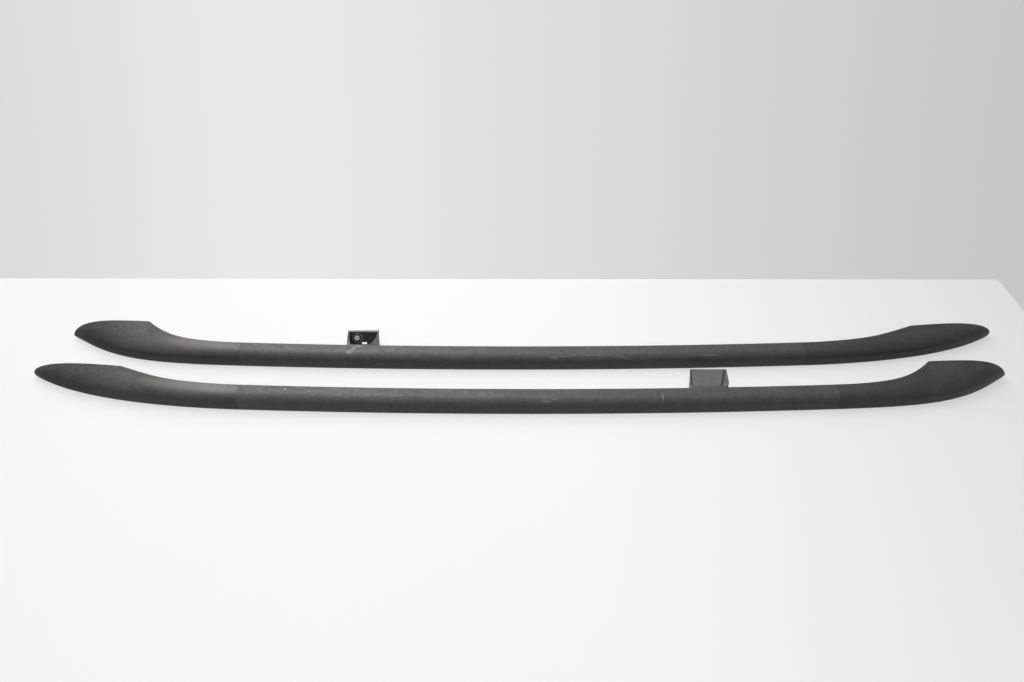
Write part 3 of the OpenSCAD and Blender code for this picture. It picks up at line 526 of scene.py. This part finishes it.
class Nodes:
    """A small helper that adds and links shader nodes in one tree."""

    def __init__(self, tree: bpy.types.NodeTree) -> None:
        """Args: tree: the node tree to fill."""
        self.tree = tree

    def fill(self, node: bpy.types.Node, inputs: dict[str | int, object]) -> None:
        """Args: node: a node. inputs: values, or sockets to link from, by input name or number."""
        for key, value in inputs.items():
            socket = node.inputs[key]
            if isinstance(value, Socket):
                self.tree.links.new(value, socket)
            else:
                socket.default_value = value

    def add(self, kind: str, inputs: dict[str | int, object] | None = None,
            **settings: object) -> bpy.types.Node:
        """Adds a node.

        Args:
            kind: the node's type name. inputs: as in fill. settings: node settings.
        Returns:
            The node.
        """
        node = self.tree.nodes.new(kind)
        for key, value in settings.items():
            setattr(node, key, value)
        self.fill(node, inputs or {})
        return node

    def math(self, op: str, a: Value, b: Value, clamp: bool = False) -> Socket:
        """Args: op: operation. a, b: its terms. clamp: keep in 0 to 1. Returns: the result's socket."""
        return self.add("ShaderNodeMath", {0: a, 1: b}, operation=op, use_clamp=clamp).outputs[0]

    def product(self, first: Value, *others: Value) -> Value:
        """Args: first, others: factors. Returns: the socket of their product."""
        for factor in others:
            first = self.math("MULTIPLY", first, factor)
        return first

    def vector(self, op: str, a: object, b: object, output: str = "Vector") -> Socket:
        """Args: op: operation. a, b: vectors. output: which output. Returns: the result's socket."""
        return self.add("ShaderNodeVectorMath", {0: a, 1: b}, operation=op).outputs[output]

    def scale(self, vector: object, factor: Value) -> Socket:
        """Args: vector: a vector or colour. factor: its factor. Returns: the result's socket."""
        return self.add("ShaderNodeVectorMath", {0: vector, "Scale": factor}, operation="SCALE").outputs[0]

    def part(self, vector: Socket, axis: str) -> Socket:
        """Args: vector: a vector's socket. axis: X, Y or Z. Returns: the socket of that part of it."""
        return self.add("ShaderNodeSeparateXYZ", {"Vector": vector}).outputs[axis]

    def grey(self, tone: Value) -> Socket:
        """Args: tone: a number. Returns: the socket of the grey with that tone."""
        return self.add("ShaderNodeCombineColor", {0: tone, 1: tone, 2: tone}).outputs[0]

    def mix(self, share: Value, base: Socket, colour: Triple) -> Socket:
        """Args: share: of the colour. base: what it covers. colour: the cover. Returns: the mix's socket."""
        inputs = {"Factor": share, "A": base, "B": (*colour, 1)}
        return self.add("ShaderNodeMix", inputs, data_type="RGBA").outputs["Result"]

    def ramp(self, value: Value, low: float, high: float, to_low: float = 0.0,
             to_high: float = 1.0) -> Socket:
        """Args: value: a number. low, high: its range. to_low, to_high: the result's. Returns: its socket."""
        return self.add("ShaderNodeMapRange", {
            "Value": value, "From Min": low, "From Max": high,
            "To Min": to_low, "To Max": to_high}).outputs[0]

    def noise(self, vector: Socket, scale: Value, detail: float = 2.0,
              roughness: float = 0.5) -> Socket:
        """Args: vector: where. scale: per metre. detail, roughness: of the noise. Returns: its socket."""
        return self.add("ShaderNodeTexNoise", {
            "Vector": vector, "Scale": scale, "Detail": detail, "Roughness": roughness}).outputs["Fac"]


class Effects:
    """The shared effects: grain, dust with a painted sheen on upward faces, and marks. Each is one node group
    that the finishes use.
    """

    GRAIN_CELLS, GRAIN_FINE = 0.7, 0.5
    FACING = (0.15, 0.95)
    PATCH_SCALE, PATCHES = 16.0, (0.38, 0.68, 0.35, 1.0)
    FINE_SCALE, FINE = 110.0, (0.36, 0.66, 0.3, 1.5)
    SPECK_SCALE, SPECK_RARE, SPECK_EDGE = 190.0, 0.93, (0.05, 0.16, 1.0, 0.0)
    TEAR_SCALE, MARK_EDGE = 420.0, (0.35, 1.0, 1.0, 0.0)

    def __init__(self) -> None:
        """Makes the groups."""
        self.grain = self._grain()
        self.dust_and_sheen = self._dust_and_sheen()
        self.mark = self._mark()

    @staticmethod
    def _group(name: str, inputs: dict[str, tuple[str, object]],
               output: str) -> tuple[Nodes, Sockets, Sockets]:
        """Makes an empty shader node group with one number as its output.

        Args:
            name: the group's name. inputs: type and default by name. output: the output's name.
        Returns:
            Its nodes, the sockets that its inputs arrive at, and those that its output leaves from.
        """
        tree = bpy.data.node_groups.new(name, "ShaderNodeTree")
        for key, (kind, default) in inputs.items():
            socket = tree.interface.new_socket(name=key, in_out="INPUT", socket_type=kind)
            if default is not None:
                socket.default_value = default
        tree.interface.new_socket(name=output, in_out="OUTPUT", socket_type="NodeSocketFloat")
        return Nodes(tree), tree.nodes.new("NodeGroupInput").outputs, tree.nodes.new("NodeGroupOutput").inputs

    def _grain(self) -> bpy.types.NodeTree:
        """Returns: a group that gives the height of a moulded grain: cells broken up by noise."""
        n, inp, out = self._group("moulded_grain", {
            "Vector": ("NodeSocketVector", None), "Scale": ("NodeSocketFloat", 900.0)}, "Height")
        cells = n.add("ShaderNodeTexVoronoi", {
            "Vector": inp["Vector"], "Scale": inp["Scale"], "Randomness": 1.0}, feature="SMOOTH_F1")
        fine = n.product(n.noise(inp["Vector"], inp["Scale"], 3.0), self.GRAIN_FINE)
        height = n.math("ADD", n.product(cells.outputs["Distance"], self.GRAIN_CELLS), fine)
        n.tree.links.new(height, out["Height"])
        return n.tree

    def _dust_and_sheen(self) -> bpy.types.NodeTree:
        """Returns: a group that gives a mask of dust and painted sheen: a patchy film on upward faces, partly
        dust and partly a painted sheen that makes the tops lighter than the sides, and small specks of dust.
        """
        n, inp, out = self._group("dust_and_sheen_film", {
            "Vector": ("NodeSocketVector", None), "Amount": ("NodeSocketFloat", 0.5),
            "Specks": ("NodeSocketFloat", 0.5)}, "Mask")
        # The film lies on upward faces only: dust there, and a painted sheen that makes the tops lighter than
        # the sides.
        facing = n.ramp(n.part(n.add("ShaderNodeNewGeometry").outputs["Normal"], "Z"), *self.FACING)
        patches = n.ramp(n.noise(inp["Vector"], self.PATCH_SCALE, 4.0, 0.6), *self.PATCHES)
        fine = n.ramp(n.noise(inp["Vector"], self.FINE_SCALE, 5.0, 0.7), *self.FINE)
        film = n.product(facing, n.product(patches, fine), inp["Amount"])
        spots = n.add("ShaderNodeTexVoronoi", {
            "Vector": inp["Vector"], "Scale": self.SPECK_SCALE}, feature="F1")
        draw = n.add("ShaderNodeSeparateColor", {"Color": spots.outputs["Color"]}).outputs[0]
        chosen = n.math("GREATER_THAN", draw, self.SPECK_RARE)
        dots = n.product(n.ramp(spots.outputs["Distance"], *self.SPECK_EDGE), chosen)
        specks = n.product(dots, inp["Specks"], facing)
        n.tree.links.new(n.math("MAXIMUM", film, specks), out["Mask"])
        return n.tree

    def _mark(self) -> bpy.types.NodeTree:
        """Returns: a group that gives the mask of one rubbed mark or one patch of painted sheen: a soft
        slanted oval broken up by noise.
        """
        n, inp, out = self._group("rubbed_mark_and_sheen", {
            "Chart": ("NodeSocketVector", None), "Centre": ("NodeSocketVector", None),
            "Angle": ("NodeSocketFloat", 0.0), "Size": ("NodeSocketVector", None),
            "Break": ("NodeSocketFloat", 0.5), "Strength": ("NodeSocketFloat", 1.0)}, "Mask")
        away = n.vector("SUBTRACT", inp["Chart"], inp["Centre"])
        turned = n.add("ShaderNodeVectorRotate", {
            "Vector": away, "Angle": inp["Angle"]}, rotation_type="Z_AXIS").outputs[0]
        scaled = n.vector("DIVIDE", turned, inp["Size"])
        far = n.add("ShaderNodeVectorMath", {0: scaled}, operation="LENGTH").outputs["Value"]
        noise = n.math("SUBTRACT", n.noise(inp["Chart"], self.TEAR_SCALE, 4.0, 0.7), 0.5)
        mask = n.ramp(n.math("ADD", far, n.product(noise, inp["Break"])), *self.MARK_EDGE)
        n.tree.links.new(n.product(mask, inp["Strength"]), out["Mask"])
        return n.tree


@dataclass(frozen=True)
class Mark:
    """One rubbed or scratched place, or one patch of painted sheen, on a piece's chart, in millimetres and
    degrees.
    """

    along: float
    around: float
    length: float
    width: float
    angle: float = 0.0
    strength: float = 0.5
    broken: float = 0.6

    def mask(self, n: Nodes, fx: Effects, chart: Socket) -> Socket:
        """Args: n: the material's nodes. fx: the effects. chart: the map. Returns: the mark's mask."""
        return n.add("ShaderNodeGroup", {
            "Chart": chart, "Centre": (self.along * MM, self.around * MM, 0),
            "Angle": math.radians(-self.angle), "Size": (self.length * MM / 2, self.width * MM / 2, 1),
            "Break": self.broken, "Strength": self.strength}, node_tree=fx.mark).outputs["Mask"]


@dataclass(frozen=True)
class Halo:
    """A zone in the model's frame, in metres: the space between two spheres round one centre."""

    centre: Triple
    inner: float
    outer: float
    soft: float
    strength: float = 1.0

    def mask(self, n: Nodes, spot: Socket) -> Value:
        """Args: n: the material's nodes. spot: object coordinates. Returns: the zone's mask."""
        away = n.vector("DISTANCE", spot, self.centre, "Value")
        within = n.ramp(away, self.outer, self.outer + self.soft, self.strength, 0.0)
        return n.product(within, n.ramp(away, self.inner - self.soft, self.inner))


@dataclass(frozen=True)
class Slab:
    """A zone in the model's frame, in metres: the space between two planes across one direction."""

    direction: Triple
    low: float
    high: float
    soft: float
    strength: float = 1.0

    def mask(self, n: Nodes, spot: Socket) -> Value:
        """Args: n: the material's nodes. spot: object coordinates. Returns: the zone's mask."""
        along = n.vector("DOT_PRODUCT", spot, self.direction, "Value")
        below = n.ramp(along, self.high, self.high + self.soft, self.strength, 0.0)
        return n.product(below, n.ramp(along, self.low - self.soft, self.low))


Zones = tuple[tuple[Halo | Slab, ...], ...]


@dataclass(frozen=True)
class Finish:
    """A moulded, coated, cast or plated surface with grain, mottling, dust with a painted sheen on upward
    faces, marks and patches of painted sheen, painted highlights, painted shade and dark lines.
    """

    name: str
    colour: Triple
    roughness: float
    metallic: float = 0.0
    grain_scale: float = 900.0
    grain_depth: float = 0.00006
    mottle: float = 0.12
    mottle_scale: float = 30.0
    dust_and_sheen: float = 0.2
    specks: float = 0.3
    dust_and_sheen_colour: Triple = (0.31, 0.31, 0.31)
    specular: float = 0.5
    painted_highlights: Zones = ()
    shade_and_dark_lines: Zones = ()
    grit: float = 0.1
    soft_edge: float = 0.0
    edge_tint: Triple | None = None
    marks: tuple[Mark, ...] = ()
    polish: tuple[Mark, ...] = ()

    NOISE = (0.3, 0.7)
    GRIT_SCALE = 130.0
    WAVE, DUST_ROUGH, BUMP = 0.04, 0.25, 0.6
    TINT_RISE, TINT_FALL = (0.043, 0.054, 0.0, 0.8), (0.06, 0.072, 0.8, 0.05)

    @staticmethod
    def _zones(n: Nodes, spot: Socket, zones: Zones) -> Value:
        """Args: n: nodes. spot: coordinates. zones: sets whose parts overlap. Returns: mask of all sets."""
        whole = 0.0
        for parts in zones:
            whole = n.math("MAXIMUM", whole, n.product(*(part.mask(n, spot) for part in parts)))
        return whole

    def _pale(self, n: Nodes, fx: Effects, spot: Socket, chart: Socket | None) -> Value:
        """Args: n: nodes. fx: effects. spot: coordinates. chart: the map. Returns: the pale mask: dust with
        painted sheen, painted highlights, marks and patches of painted sheen.
        """
        pale = n.add("ShaderNodeGroup", {
            "Vector": spot, "Amount": self.dust_and_sheen, "Specks": self.specks}, node_tree=fx.dust_and_sheen).outputs["Mask"]
        # Painted highlights lighten the colour where their zones lie.
        if self.painted_highlights:
            pale = n.math("MAXIMUM", pale, self._zones(n, spot, self.painted_highlights))
        for mark in self.marks:
            pale = n.math("MAXIMUM", pale, mark.mask(n, fx, chart))
        return pale

    def _normal(self, n: Nodes, fx: Effects, spot: Socket) -> Socket:
        """Args: n: nodes. fx: effects. spot: coordinates. Returns: the normal of the grain and soft edges."""
        grain = n.add("ShaderNodeGroup", {"Vector": spot, "Scale": self.grain_scale}, node_tree=fx.grain)
        inputs = {"Height": grain.outputs["Height"], "Distance": self.grain_depth, "Strength": self.BUMP}
        if self.soft_edge:
            rounded = n.add("ShaderNodeBevel", {"Radius": self.soft_edge}, samples=6)
            inputs["Normal"] = rounded.outputs["Normal"]
        return n.add("ShaderNodeBump", inputs).outputs["Normal"]

    def build(self, fx: Effects) -> bpy.types.Material:
        """Makes the material.

        Args:
            fx: the shared effects.
        Returns:
            The material.
        """
        mat = bpy.data.materials.new(self.name)
        mat.use_nodes = True
        n = Nodes(mat.node_tree)
        spot = n.add("ShaderNodeTexCoord").outputs["Object"]
        charted = self.edge_tint or self.marks or self.polish
        chart = n.add("ShaderNodeUVMap", uv_map="chart").outputs["UV"] if charted else None
        wide = n.noise(spot, self.mottle_scale, 4.0, 0.6)
        base = n.scale(self.colour, n.ramp(wide, *self.NOISE, 1.0 - self.mottle, 1.0 + self.mottle))
        if self.edge_tint:
            height = n.part(chart, "Y")
            band = n.math("MINIMUM", n.ramp(height, *self.TINT_RISE), n.ramp(height, *self.TINT_FALL))
            base = n.mix(band, base, self.edge_tint)
        pale = self._pale(n, fx, spot, chart)
        # Dark zones darken the colour and the pale mask: painted shade on the bolt's flange, and the dark
        # line of the cap's groove.
        if self.shade_and_dark_lines:
            clear = n.math("SUBTRACT", 1.0, self._zones(n, spot, self.shade_and_dark_lines), clamp=True)
            base, pale = n.scale(base, clear), n.product(pale, clear)
        waves = n.ramp(wide, *self.NOISE, self.roughness - self.WAVE, self.roughness + self.WAVE)
        gritty = n.ramp(n.noise(spot, self.GRIT_SCALE, 5.0, 0.75), *self.NOISE, -self.grit, self.grit)
        rough = n.math("ADD", n.math("ADD", waves, gritty), n.product(pale, self.DUST_ROUGH), clamp=True)
        for mark in self.polish:
            rough = n.math("SUBTRACT", rough, mark.mask(n, fx, chart), clamp=True)
        # The pale mask pulls the colour towards the dust colour: dust, and painted sheen and painted
        # highlights as well.
        n.fill(mat.node_tree.nodes["Principled BSDF"], {
            "Base Color": n.mix(pale, base, self.dust_and_sheen_colour), "Roughness": rough, "Metallic": self.metallic,
            "Specular IOR Level": self.specular, "Normal": self._normal(n, fx, spot)})
        return mat


# Marks go: along, around, length, width, angle, strength, how broken. The first ones are scuffs and specks,
# and the long ones about 1.8 mm wide are hairlines.
FAR_MARKS = (
    Mark(337, 49, 18, 15, -30, 0.5), Mark(351, 30, 20, 15, -20, 0.46), Mark(344, 40, 22, 12, -60, 0.36),
    Mark(473, 42, 6, 6, 0, 0.3), Mark(-46, 23.4, 74, 1.8, -3, 0.4, 0.2),
    Mark(-106, 25.6, 80, 1.8, 0, 0.38, 0.2), Mark(-158, 20.2, 76, 1.8, 12.4, 0.36, 0.2),
    Mark(-52, 38.8, 6, 5, 0, 0.3), Mark(-318, 22.6, 52, 1.8, 0, 0.45, 0.2),
    Mark(-30, 20, 22, 6, 10, 0.2, 0.8), Mark(115, 40, 60, 10, 4, 0.12, 1.0))
NEAR_MARKS = (
    Mark(-421, 42, 6, 6, 0, 0.8, 0.3), Mark(-378, 38.5, 5, 4, 0, 0.7, 0.3),
    Mark(-262, 34, 18, 9, 10, 0.2, 1.0), Mark(-167, 54, 22, 9, 0, 0.18, 1.0),
    Mark(-130, 48, 30, 10, 15, 0.16, 1.0), Mark(-104, 42, 20, 8, 0, 0.2, 1.0),
    Mark(-72, 38, 26, 9, 10, 0.16, 1.0), Mark(-43, 32, 20, 8, 0, 0.18, 1.0),
    Mark(37, 22, 26, 9, 0, 0.25, 1.0), Mark(52, 26, 18, 4, 0, 0.3, 0.8),
    Mark(243, 30, 26, 3.2, 86, 0.42, 0.2), Mark(555.6, 38, 2.4, 80, 0, 0.22, 0.4),
    Mark(-503, 36, 150, 110, 0, 0.05, 0.0), Mark(-504, 40, 10, 90, 0, 0.06, 0.3))
# FAR_SHEEN and NEAR_SHEEN are painted sheen: pale warm patches on the necks of the left covers, where the
# light glances off them. The polish marks only change roughness.
FAR_SHEEN = (Mark(620, 42, 260, 44, 0, 0.17, 0.4),)
FAR_POLISH = (Mark(620, 36, 300, 50, 0, 0.08, 0.3), Mark(850, 30, 220, 150, 0, -0.2, 0.3))
NEAR_SHEEN = (Mark(570, 42, 280, 46, 0, 0.22, 0.4),)
NEAR_POLISH = (Mark(570, 34, 320, 50, 0, 0.12, 0.3), Mark(840, 30, 260, 150, 0, -0.2, 0.3))

# The zones lie on the mid supports, the far bolt's head and seat, and the cap's groove. Those on the supports
# are painted highlights, along the top rims and in a ring round the bolt's seat; the one on the bolt's flange
# is painted shade; the cap's groove is a dark line.
RIM = Slab((0.0, 0.0, 1.0), 0.0286, 0.05, 0.0004)
SUPPORT_HIGHLIGHTS = (
    (RIM, Slab((0.0, 1.0, 0.0), 0.0925, 0.2, 0.0015, 0.5)),
    (RIM, Slab((0.0, 1.0, 0.0), -0.08, -0.0705, 0.0005, 0.28)),
    (RIM, Slab((1.0, 0.0, 0.0), -0.294, -0.28, 0.008, 0.12), Slab((0.0, 1.0, 0.0), 0.0, 0.2, 0.01)),
    (RIM, Halo((-0.347, 0.053, 0.0288), 0.0, 0.004, 0.014, 0.4)),
    (Halo((-0.3304, 0.0843, 0.0194), 0.0084, 0.0095, 0.0003, 0.42),))
# Painted shade: the bolt's flange, low in the recess of its seat, is darkened almost to black.
BOLT_FLANGE_SHADE = ((Slab((0.0, -0.788, 0.6157), -1.0, -0.052, 0.0004, 0.93),),)
CAP_GROOVE = ((Slab((0.9535, -0.3013, 0.0), 0.3430, 0.3468, 0.0006, 0.8),),)


class Finishes:
    """All finishes of the pair, made once."""

    def __init__(self) -> None:
        """Makes every material."""
        fx = Effects()
        bar = Finish("bar_coat_far", (0.02, 0.02, 0.02), 0.58, grain_scale=1500, grain_depth=0.00002,
                     dust_and_sheen=0.085, mottle=0.35, mottle_scale=40, grit=0.14, edge_tint=(0.034, 0.031, 0.019),
                     marks=FAR_MARKS)
        cover = Finish("cover_grain", (0.009, 0.0092, 0.009), 0.58, grain_scale=1100, grain_depth=0.00005,
                       dust_and_sheen=0.05, mottle=0.3, mottle_scale=40)
        # The left covers carry painted sheen near their seams in a warm colour, beside more dust and specks
        # and polish marks.
        worn_and_sheen = replace(cover, name="cover_worn_sheen_far", dust_and_sheen=0.07, specks=0.4, dust_and_sheen_colour=(0.34, 0.32, 0.27),
                       marks=FAR_SHEEN, polish=FAR_POLISH)
        specs = {
            "bar_far": bar,
            "bar_near": replace(bar, name="bar_coat_near", dust_and_sheen=0.1, specks=0.35, marks=NEAR_MARKS),
            "cover_plain": cover,
            "cover_far": worn_and_sheen,
            "cover_near": replace(worn_and_sheen, name="cover_worn_sheen_near", marks=NEAR_SHEEN, polish=NEAR_POLISH),
            "cast_bracket": Finish("bracket_cast", (0.42, 0.42, 0.43), 0.5, metallic=1.0, grain_scale=500,
                                   grain_depth=0.0001, mottle=0.1, dust_and_sheen=0.1, soft_edge=0.0006),
            "gasket_rubber": Finish("rubber_dull", (0.014, 0.014, 0.014), 0.75, grain_scale=700, dust_and_sheen=0.06),
            "screw_steel": Finish("screw_bright", (0.5, 0.5, 0.5), 0.38, metallic=1.0, grain_scale=300,
                                  dust_and_sheen=0.05, soft_edge=0.0003),
            # The support's colour is darker than the covers': partly its black plastic, partly painted shade
            # for its shaded inside.
            "support_plastic": Finish("support_black_and_shade", (0.004, 0.004, 0.004), 0.4, grain_scale=1200, dust_and_sheen=0.0,
                                      specks=0.05, specular=0.15, soft_edge=0.0006, painted_highlights=SUPPORT_HIGHLIGHTS),
            "bolt_zinc": Finish("bolt_plated", (0.17, 0.17, 0.165), 0.34, metallic=1.0, grain_scale=400,
                                grain_depth=0.00003, dust_and_sheen=0.05, mottle=0.98, mottle_scale=620,
                                soft_edge=0.0003, shade_and_dark_lines=BOLT_FLANGE_SHADE),
            # The steel washer is coloured near black and not metal, as painted shade in the recess under the
            # bolt's head.
            "washer_steel": Finish("washer_painted_shade", (0.012, 0.012, 0.012), 0.5, specular=0.3, dust_and_sheen=0.02),
            "cap_plastic": Finish("cap_faded", (0.07, 0.071, 0.064), 0.62, grain_scale=1000, dust_and_sheen=0.08,
                                  mottle=0.2, mottle_scale=60, soft_edge=0.0006, shade_and_dark_lines=CAP_GROOVE),
        }
        self.by_name = {key: spec.build(fx) for key, spec in specs.items()}

    def __getitem__(self, key: str) -> bpy.types.Material:
        """Args: key: a finish's name. Returns: its material."""
        return self.by_name[key]


class Rail:
    """One rail: replaces the bar and the end covers, and dresses the other nodes."""

    KEPT = {
        "steep_foot_bracket": "cast_bracket", "shallow_foot_bracket": "cast_bracket",
        "steep_foot_gasket": "gasket_rubber", "shallow_foot_gasket": "gasket_rubber",
        "bar_screws": "screw_steel", "mid_support": "support_plastic", "mid_screws": "screw_steel",
        "mid_bolt": "bolt_zinc", "mid_washer": "washer_steel", "mid_pad": "gasket_rubber",
        "mid_cap": "cap_plastic"}

    def __init__(self, side: Side, frame: dict, finishes: Finishes, box: tuple) -> None:
        """Args: side: which rail. frame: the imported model. finishes: the materials. box: its bounds."""
        self.side, self.frame, self.finishes, self.place = side, frame, finishes, Place(side)
        self.low, self.high = np.array(box[0], float), np.array(box[1], float)
        # The left foot of each rail takes the cover finish with painted sheen.
        self.worn_and_sheen = FootKind.STEEP if side is Side.FAR else FootKind.SHALLOW

    def _stand_in(self, surface: Surface, node: str, material: bpy.types.Material,
                  shallow: bool) -> None:
        """Puts a new piece where a CAD node is.

        Args:
            surface: the piece. node: the node. material: its finish.
            shallow: whether the piece belongs to the shallow foot, which is drawn mirrored.
        """
        points = surface.points * (np.array([-1.0, 1.0, 1.0]) if shallow else 1.0)
        inside = np.clip(self.place.apply(points), self.low, self.high)
        placed = Surface(inside, surface.quads, surface.tris, surface.chart)
        name = f"{self.side.value}_{node}"
        obj = placed.to_object(f"{name}_skin", self.place.mirrored != shallow)
        obj.data.materials.append(material)
        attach(obj, "root")
        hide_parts(name)

    def build(self) -> None:
        """Makes the new pieces and dresses the kept ones."""
        fin, side = self.finishes, self.side.value
        self._stand_in(Bar().surface(), "bar", fin[f"bar_{side}"], False)
        for kind in FootKind:
            finish = f"cover_{side}" if kind is self.worn_and_sheen else "cover_plain"
            self._stand_in(FootCover(kind).surface(), f"{kind.value}_foot_cover",
                           fin[finish], kind is FootKind.SHALLOW)
        for node, finish in self.KEPT.items():
            obj = self.frame["nodes"].get(f"{side}_{node}")
            if obj is not None:
                obj.data.materials.clear()
                obj.data.materials.append(fin[finish])
        log.info("%s rail built", side)


@dataclass(frozen=True)
class Lamp:
    """One soft white rectangular lamp that points at the model's origin; its radiance is that of its face."""

    name: str
    spot: Triple
    size: tuple[float, float]
    radiance: float

    def build(self) -> None:
        """Adds the lamp to the scene."""
        data = bpy.data.lights.new(self.name, "AREA")
        data.shape, data.size, data.size_y = "RECTANGLE", *self.size
        data.energy = self.radiance * math.pi * self.size[0] * self.size[1]
        obj = bpy.data.objects.new(self.name, data)
        obj.location = self.spot
        obj.rotation_euler = (-Vector(self.spot)).to_track_quat("-Z", "Y").to_euler()
        bpy.context.scene.collection.objects.link(obj)


@dataclass(frozen=True)
class Studio:
    """Floor, light and camera. Each row of three tones is for the left, the middle and the right; where the
    floor's glow and the wall fall darker to the sides, that is painted falloff of light.
    """

    PHOTO_WIDTH, SENSOR = 1024, 36.0

    lens: float = 880.6 / PHOTO_WIDTH * SENSOR
    spot: Triple = (-0.0594, -1.265, 1.0498)
    yaw: float = 1.0997
    pitch: float = 37.548
    roll: float = 0.676
    floor_tone: float = 0.66
    floor_glow: float = 0.66
    floor_left: float = -12.0
    floor_right: float = 1.025
    floor_front: float = -14.0
    floor_back: float = 0.32
    glow_falloff_tones: Triple = (0.96, 1.0, 0.8)
    glow_places: tuple[float, float, float, float] = (-1.0, -0.3, 0.1, 1.0)
    wall_falloff_tones: Triple = (0.7, 0.81, 0.57)
    wall_places: tuple[float, float, float, float] = (-0.5, -0.28, -0.2, 0.5)
    room: float = 0.03
    lamps: tuple[Lamp, ...] = (
        Lamp("back_left", (-1.5, 1.7, 1.9), (1.2, 1.4), 0.3),
        Lamp("back_middle", (-0.85, 1.9, 1.5), (1.2, 1.4), 4.2),
        Lamp("back_right", (0.9, 1.9, 1.5), (1.2, 1.4), 0.05),
        Lamp("back_high", (-0.65, 1.3, 2.5), (1.6, 1.4), 5.9),
        Lamp("top", (-0.15, 0.0, 2.6), (1.4, 1.6), 3.3),
        Lamp("top_left", (-1.2, 0.1, 2.4), (1.4, 1.6), 1.9),
        Lamp("front", (0.0, -1.9, 2.1), (1.4, 1.4), 2.6),
        Lamp("front_left", (-1.3, -1.6, 1.9), (1.4, 1.4), 1.2),
    )

    @staticmethod
    def _seen(n: Nodes) -> Socket:
        """Args: n: the nodes. Returns: 1 where the camera, a reflection or glass looks, 0 for other light."""
        path = n.add("ShaderNodeLightPath").outputs
        bent = n.math("MAXIMUM", path["Is Glossy Ray"], path["Is Transmission Ray"])
        return n.math("MAXIMUM", path["Is Camera Ray"], bent)

    @staticmethod
    def _across(n: Nodes, x: Value, places: tuple[float, ...], tones: Triple) -> Socket:
        """Args: n: nodes. x: the place. places: two ranges of it. tones: three. Returns: a grey's socket."""
        left, middle, right = tones
        rise = n.ramp(x, places[0], places[1], left, middle)
        return n.grey(n.math("MINIMUM", rise, n.ramp(x, places[2], places[3], middle, right)))

    def camera(self) -> None:
        """Sets the scene's camera at the photograph's angle."""
        yaw, pitch, roll = map(math.radians, (self.yaw, self.pitch, self.roll))
        ahead = np.array([math.sin(yaw), math.cos(yaw), 0.0])
        right = np.array([math.cos(yaw), -math.sin(yaw), 0.0])
        up = ahead * math.sin(pitch) + np.array([0, 0, math.cos(pitch)])
        look = ahead * math.cos(pitch) - np.array([0, 0, math.sin(pitch)])
        x = right * math.cos(roll) + up * math.sin(roll)
        y = up * math.cos(roll) - right * math.sin(roll)
        data = bpy.data.cameras.new("camera")
        data.lens, data.sensor_width = self.lens, self.SENSOR
        data.clip_start, data.clip_end = 0.05, 100.0
        obj = bpy.data.objects.new("camera", data)
        rows = np.eye(4)
        rows[:3, 0], rows[:3, 1], rows[:3, 2], rows[:3, 3] = x, y, -look, self.spot
        obj.matrix_world = Matrix(rows.tolist())
        bpy.context.scene.collection.objects.link(obj)
        bpy.context.scene.camera = obj

    def floor(self) -> None:
        """Adds a pale matte floor that ends where the photograph's table meets the wall. Its glow to the
        camera and reflections is darker on the right as painted falloff of light.
        """
        name = "floor"
        mesh = bpy.data.meshes.new(name)
        left, right, front, back = self.floor_left, self.floor_right, self.floor_front, self.floor_back
        corners = [(left, front, 0), (right, front, 0), (right, back, 0), (left, back, 0)]
        mesh.from_pydata(corners, [], [(0, 1, 2, 3)])
        obj = bpy.data.objects.new(name, mesh)
        bpy.context.scene.collection.objects.link(obj)
        mat = bpy.data.materials.new(name)
        mat.use_nodes = True
        shader = mat.node_tree.nodes["Principled BSDF"]
        n = Nodes(mat.node_tree)
        spot = n.add("ShaderNodeTexCoord").outputs["Object"]
        tone = n.ramp(n.noise(spot, 3.0, 3.0), 0.3, 0.7, self.floor_tone * 0.995, self.floor_tone)
        n.fill(shader, {"Base Color": n.grey(tone), "Roughness": 0.85, "Specular IOR Level": 0.2})
        # The glow's tones fall off to the right: painted falloff of light.
        white = self._across(n, n.part(spot, "X"), self.glow_places, self.glow_falloff_tones)
        glow = n.add("ShaderNodeEmission", {"Color": white, "Strength": 1.0})
        seen = n.product(self._seen(n), self.floor_glow)
        mix = n.add("ShaderNodeMixShader", {0: seen, 1: shader.outputs[0], 2: glow.outputs[0]})
        n.fill(mat.node_tree.nodes["Material Output"], {"Surface": mix.outputs[0]})
        mesh.materials.append(mat)
        obj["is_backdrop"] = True

    def world(self) -> None:
        """Sets the background: a pale wall to the camera and reflections, lightest in the middle and darkest
        on the right as painted falloff of light, and a dim even room to other light.
        """
        world = bpy.data.worlds.new("studio")
        bpy.context.scene.world = world
        world.use_nodes = True
        n = Nodes(world.node_tree)
        room = n.tree.nodes["Background"]
        n.fill(room, {"Color": (self.room, self.room, self.room, 1), "Strength": 1.0})
        x = n.part(n.add("ShaderNodeTexCoord").outputs["Generated"], "X")
        # The wall's tones fall off to the sides, most to the right: painted falloff of light.
        tone = self._across(n, x, self.wall_places, self.wall_falloff_tones)
        wall = n.add("ShaderNodeBackground", {"Color": tone, "Strength": 1.0})
        mix = n.add("ShaderNodeMixShader", {0: self._seen(n), 1: room.outputs[0], 2: wall.outputs[0]})
        n.fill(n.tree.nodes["World Output"], {"Surface": mix.outputs[0]})

    def build(self) -> None:
        """Sets up floor, light, background and camera."""
        bpy.context.scene.view_settings.view_transform = "Standard"
        self.floor()
        self.world()
        for lamp in self.lamps:
            lamp.build()
        self.camera()


def main() -> None:
    """Builds both rails and the studio."""
    logging.basicConfig(level=logging.INFO, format="%(name)s: %(message)s")
    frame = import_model()
    cad_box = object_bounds()
    finishes = Finishes()
    for side in Side:
        Rail(side, frame, finishes, cad_box).build()
    Studio().build()
    bpy.context.view_layer.update()


if __name__ == "__main__":
    main()
